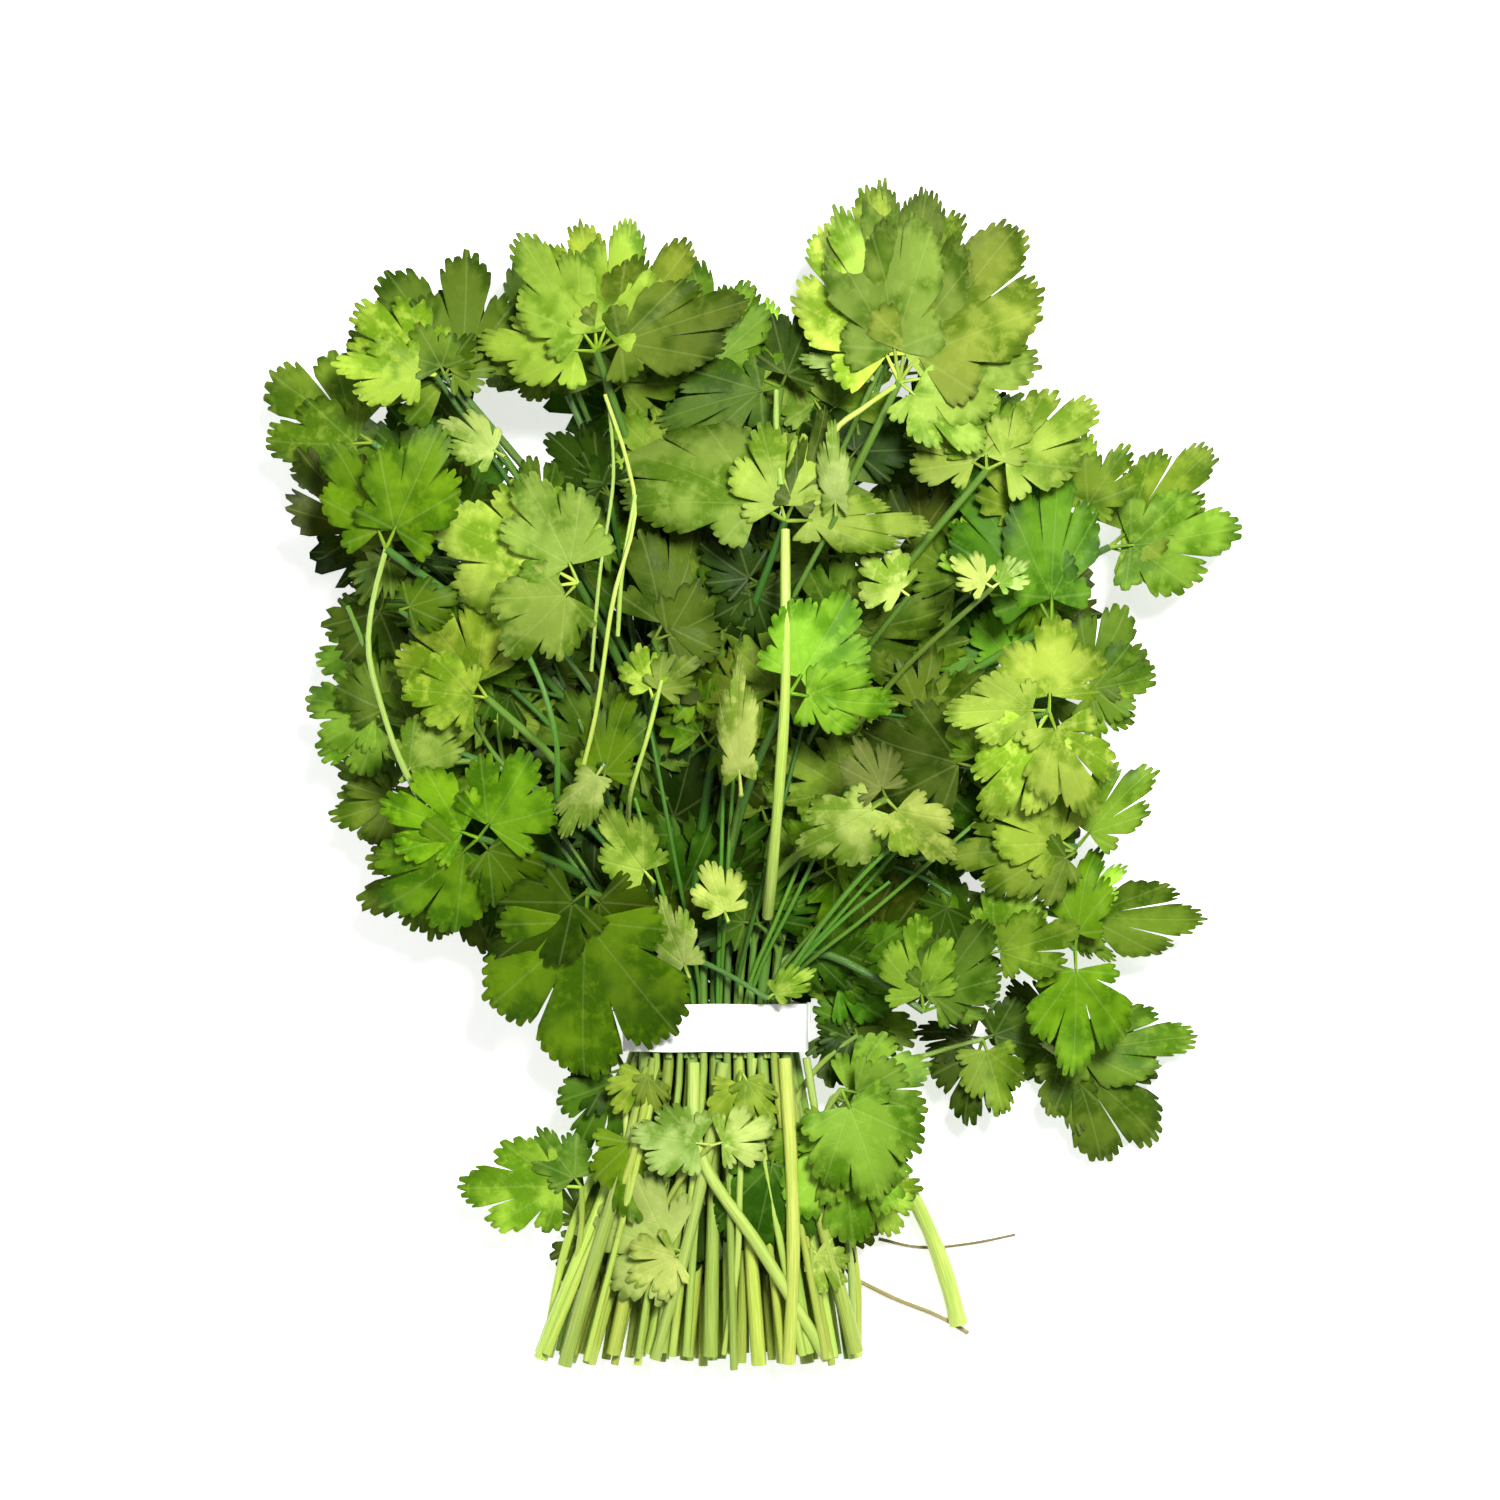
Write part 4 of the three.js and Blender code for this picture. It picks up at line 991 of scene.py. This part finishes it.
def add_world():
    world = bpy.data.worlds.new("studio")
    world.use_nodes = True
    world.node_tree.nodes["Background"].inputs[0].default_value = (1, 1, 1, 1)
    world.node_tree.nodes["Background"].inputs[1].default_value = WORLD_STRENGTH
    bpy.context.scene.world = world
    bpy.context.scene.view_settings.view_transform = "Standard"


# --- Pieces ---
def place_piece(sheaf, name, slot, node=None):
    piece = sheaf.piece(name, SKINS[slot.split("_")[0]])
    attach(piece, "root")
    if node:
        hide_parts(node)


def leaning(lean, heading, most):
    """The pitch and roll of a leaflet on a leaf that leans as a whole, by up to most degrees."""
    share, toward = lean
    swing = math.radians(heading - toward)
    return -share * most * math.cos(swing), share * most * math.sin(swing)


def build_leaf(name, hub, level, tone, leaflets, seed, most=0.0, node=None):
    """One compound leaf. most is how far it may lean as a whole, which the frame's own leaves don't."""
    rng = np.random.default_rng(seed)
    sheaf = Sheaf()
    ferny = "fern" in name or "twig" in name
    lean = (rng.uniform(0.3, 1), rng.uniform(0, 360))
    for part, leaflet in enumerate(leaflets):
        heading, length, width, shade = (*leaflet, 1)[:4]
        pitch, roll = leaning(lean, heading, most)
        pitch += TILT * (1 if part % 2 else -0.4)
        roll += SHINGLE * (1 if seed % 2 else -1) * (1 + 0.3 * scatter(seed, part))
        cut = FERNY_CUT if ferny else rng.choice(CUTS)
        spec = (heading, length, width, pitch, roll)
        add_leaflet(sheaf, rng, hub, level, spec, tint_of(rng, tone) * shade, cut)
    place_piece(sheaf, name, "leaf_" + SLOTS.get(tone, tone), node)


def build_stem(name, path, base, tip, seed, tone="fresh", node=None):
    sheaf = Sheaf()
    add_stem(sheaf, np.random.default_rng(seed), path, base, tip, tone=tone)
    place_piece(sheaf, name, "stem", node)


def tie_loop():
    """The strip's course round the stems: a closed loop of x, from the tie's middle, and z."""
    inset = TIE.thickness + TIE.corner
    side, bottom, top = TIE.half_width - inset, inset, TIE.height - inset
    loop = []
    for x, z, start in ((side, bottom, -90), (side, top, 0), (-side, top, 90), (-side, bottom, 180)):
        angle = np.radians(start + np.linspace(0, 90, 9))
        loop += [(x + TIE.corner * math.cos(turn), z + TIE.corner * math.sin(turn)) for turn in angle]
    return np.array(loop + loop[:1])


def build_tie():
    """The tie's strip: once round the stems and on for an overlap, with soft creases and worn edges."""
    loop = tie_loop()
    distance = lengths_along(loop)
    once = distance[-1]
    around = np.arange(0, once + TIE.overlap, 1.0)

    def on_loop(along):
        return np.stack([np.interp(along % once, distance, loop[:, axis]) for axis in range(2)], -1)

    middle = on_loop(around)
    tangent = unit(on_loop(around + 0.5) - middle)
    layer = TIE.thickness * smooth(once - 6, once + 1, around)[:, None]
    along, across = around[:, None], np.linspace(-1, 1, 9)
    skins = []
    for skin in (0.0, 1.0):
        crease = 0.12 * np.sin(along * 0.55 + across * 1.4) * np.cos(along * 0.21 - across)
        reach = -TIE.thickness * 0.5 + layer + TIE.thickness * 0.8 * (skin - 0.5) + crease
        edge = TIE.length / 2 * across * (1 + 0.012 * np.sin(along * 0.4 + 2 * across))
        x = TIE.x + middle[:, :1] + tangent[:, 1:] * reach
        z = np.maximum(middle[:, 1:] - tangent[:, :1] * reach, 0.05)
        skins.append(np.stack([x, TIE.y + edge, z], -1))
    sheaf = Sheaf()
    sheaf.add_sheet(*skins)
    place_piece(sheaf, "tie_strip", "tie", "tie_band")


def spray_end(angle):
    """How far a spray's stem may go on at a bearing until its leaf would leave the crown."""
    reach = SPRAY.start
    while inside_crown(*spray_point(angle, reach + SPRAY.leaf)):
        reach += SPRAY.step
    return reach


def spray_point(angle, reach):
    return TIE.x + reach * math.sin(angle), TIE.y + SPRAY.beyond_tie + reach * math.cos(angle)


def build_sprays(trunks):
    """The stems between the frame's, each with a leaf at its end and side leaves along it."""
    places = [(row, column) for row in range(len(SPRAY_ROWS)) for column in range(len(SPRAY_BEARINGS))]
    for index, (row, column) in enumerate(places):
        height, radius, level, turn = SPRAY_ROWS[row]
        rng = np.random.default_rng(SEEDS["spray"] + index)
        number = index + 1
        angle = math.radians(SPRAY_BEARINGS[column] + turn + rng.uniform(-SPRAY.sway, SPRAY.sway))
        x, y = spray_point(angle, spray_end(angle) * rng.uniform(*SPRAY.reach))
        outward = min(1, math.hypot(x, y - SPRAY.middle_y) / SPRAY.edge)
        own = level * (1 - SPRAY.fall * outward ** 2)
        hub = (x, y, own * dome_height(x, y))
        offset = (column - (len(SPRAY_BEARINGS) - 1) / 2) * PACK.pitch_x
        stray = (rng.uniform(*SPRAY.stray_x), rng.uniform(*SPRAY.stray_y))
        path = stem_path(hub, (offset, height, row), 40 + number, stray)
        leaves, stems = Sheaf(), Sheaf()
        own_radius = radius * rng.uniform(*SPRAY.radius)
        add_stem(stems, rng, path, own_radius, SPRAY.tip_radius, SPRAY.sides)
        heading = 90 - math.degrees(angle)
        add_spray_leaf(leaves, rng, hub, own, heading, 1.0)
        for order, share in enumerate(SPRAY_SHARES):
            at = path[int(share * (len(path) - 1))]
            hand = 1 if (order + number) % 2 else -1
            swing = math.radians(heading + hand * rng.uniform(*SPRAY_SIDE.swing))
            away = rng.uniform(*SPRAY_SIDE.stand_off)
            side_x, side_y = at[0] + away * math.cos(swing), at[1] + away * math.sin(swing)
            side_level = own * rng.uniform(*SPRAY_SIDE.level)
            side_hub = (side_x, side_y, max(side_level * dome_height(side_x, side_y), SPRAY_SIDE.lowest))
            if side_y < TIE.y + SPRAY_SIDE.from_tie:
                continue
            if not inside_crown(side_x, side_y, SPRAY_SIDE.margin):
                continue
            if add_spray_leaf(leaves, rng, side_hub, side_level, math.degrees(swing), SPRAY_SIDE.size):
                add_stem(stems, rng, branch_path([path], side_hub), *SPRAY_SIDE.stalk)
        name = f"spray_{number:02d}"
        place_piece(stems, name + "_stem", "stem")
        if leaves.count:
            place_piece(leaves, name + "_leaves", "leaf_mid")
        trunks.append(path)


def add_spray_leaf(sheaf, rng, hub, level, heading, size):
    """A filling leaf of up to three leaflets, without any that leave the crown or close an opening."""
    tone = rng.choice(next(tones for limit, tones in SPRAY_TONES if level < limit))
    if hub[1] < NECK["y"]:
        tone = NECK["tones"].get(tone, tone)
    made = 0
    lean = (rng.uniform(0.2, 1), rng.uniform(0, 360))
    hand = rng.choice([-1, 1])
    for swing in (0, rng.uniform(*SPRAY_LEAF.outer), -rng.uniform(*SPRAY_LEAF.outer)):
        length = rng.uniform(*SPRAY_LEAF.length) * size * (SPRAY_LEAF.outer_size if swing else 1)
        pitch, roll = leaning(lean, heading + swing, SPRAY_LEAF.lean)
        spec = (heading + swing, length, rng.uniform(*SPRAY_LEAF.width), pitch, roll + hand * SHINGLE)
        # Spray leaves are painted darker by SPRAY_LEAF.light: painted shade inside the crown.
        tint = tint_of(rng, tone) * SPRAY_LEAF.light
        cut = rng.choice(SPRAY_LEAF.cuts)
        if leaflet_fits(hub, heading + swing, length):
            add_leaflet(sheaf, rng, hub, level, spec, tint, cut, SPRAY_LEAF.curl, PLAIN)
            made += 1
    return made


def build_sprigs(trunks):
    """The leaves that only the looks have. Those furthest from the tie have stems of their own."""
    furthest = sorted(SPRIGS, key=lambda sprig: -sprig[2])[:THREAD.columns * THREAD.rows]
    slots = dict(zip((sprig[0] for sprig in furthest), slots_of(furthest, THREAD.columns)))
    for index, (name, x, y, level, tone, leaflets) in enumerate(SPRIGS):
        hub = hub_at(x, y, level)
        build_leaf(name + "_leaf", hub, level, tone, leaflets, SEEDS["sprig"] + index, SPRIG_LEAN)
        if name in slots:
            path, base = stem_path(hub, slots[name], index), THREAD.base_radius
        else:
            path, base = branch_path(trunks, hub), THREAD.side_radius
        build_stem(name + "_stalk", path, base, THREAD.tip_radius, SEEDS["sprig_stalk"] + index)


def bed_stems():
    """The stems at the bottom of the bundle, which fan out from the tie to their cut ends."""
    for index, x in enumerate(np.linspace(BED.left, BED.right, BED.count)):
        in_tie = TIE.x + (x - CUT.x) / CUT.spread
        height = BED.height + BED.step * (index % 2)
        course = [(TIE.y - below, share) for below, share in BED.course]
        course.append((CUT.y + scatter(index, 3), 1.0))
        route = [
            (in_tie + (x - in_tie) * share, y, height + BED.sink * (1 - share)) for y, share in course
        ]
        tone = BED.tones[index % len(BED.tones)]
        yield f"bed_{index + 1:02d}", BED.base_radius, BED.tip_radius, tone, route


def neck_fan():
    """The thin stems that fan out from the top of the tie."""
    for index, bearing in enumerate(np.linspace(FAN.first, FAN.last, FAN.count)):
        angle = math.radians(bearing + FAN.sway * scatter(index, 1))
        reach = FAN.reach * (1 + FAN.unevenness * scatter(index, 2))
        x = TIE.x + FAN.half_width * math.sin(angle) / math.sin(math.radians(FAN.last))
        route = [
            (x, TIE.y - FAN.inside_tie, FAN.height),
            (x, TIE.y + FAN.inside_tie, FAN.height + FAN.rise),
        ]
        for share in FAN.shares:
            far_x = x + reach * share * math.sin(angle)
            far_y = TIE.y + FAN.beyond_tie + reach * share * math.cos(angle)
            level = FAN.first_level + (FAN.level - FAN.first_level) * share
            route.append((far_x, far_y, level * dome_height(far_x, far_y)))
        tone = FAN.tones[index % len(FAN.tones)]
        yield f"neck_{index + 1:02d}_stem", FAN.base_radius, FAN.tip_radius, tone, route


def twigs():
    """The thin stems on top of the crown."""
    for name, radius, tone, route in TWIGS:
        on_crown = [(x, y, level * dome_height(x, y)) for x, y, level in route]
        yield name, radius, radius * TWIG_TAPER, tone, on_crown


def build_routes(stems, kind, steps):
    """Stems along routes of their own: for each, its name, base and tip radius, tone and route."""
    for index, (name, base, tip, tone, route) in enumerate(stems):
        build_stem(name, smooth_path(route, steps), base, tip, SEEDS[kind] + index, tone)


def build_bunch():
    slots = slots_of(LEAVES)
    trunks = []
    for index, (name, x, y, level, tone, leaflets) in enumerate(LEAVES):
        hub = hub_at(x, y, level)
        build_leaf(name + "_leaf", hub, level, tone, leaflets, index, node="leaf_" + name)
        path = stem_path(hub, slots[index], index)
        base, tip = STEM.base_radius, STEM.tip_radius
        build_stem(name + "_stem", path, base, tip, SEEDS["stem"] + index, node="stem_" + name)
        trunks.append(path)
    build_sprays(trunks)
    stray = smooth_path(STRAY.route, STRAY.steps)
    base, tip = STRAY.base_radius, STRAY.tip_radius
    build_stem("stray_stem", stray, base, tip, SEEDS["stray"], "pale", "stem_stray")
    build_routes(LOOSE, "loose", LOOSE_STEPS)
    build_routes(bed_stems(), "bed", BED.steps)
    build_routes(twigs(), "twig", TWIG_STEPS)
    build_routes(neck_fan(), "neck", FAN.steps)
    for index, (name, x, y, z, tone, leaflets) in enumerate(SIDE_LEAVES + TUCKED):
        node = "leaf_" + name if index < len(SIDE_LEAVES) else None
        build_leaf(name + "_leaf", (x, y, z), 1, tone, leaflets, index, node=node)
        path = branch_path(trunks, (x, y, z))
        build_stem(name + "_stalk", path, *SIDE_STALK, SEEDS["side_stalk"] + index)
    build_sprigs(trunks)
    build_tie()


add_camera()
add_floor()
for lamp in LAMPS:
    add_light(*lamp)
add_world()
build_bunch()
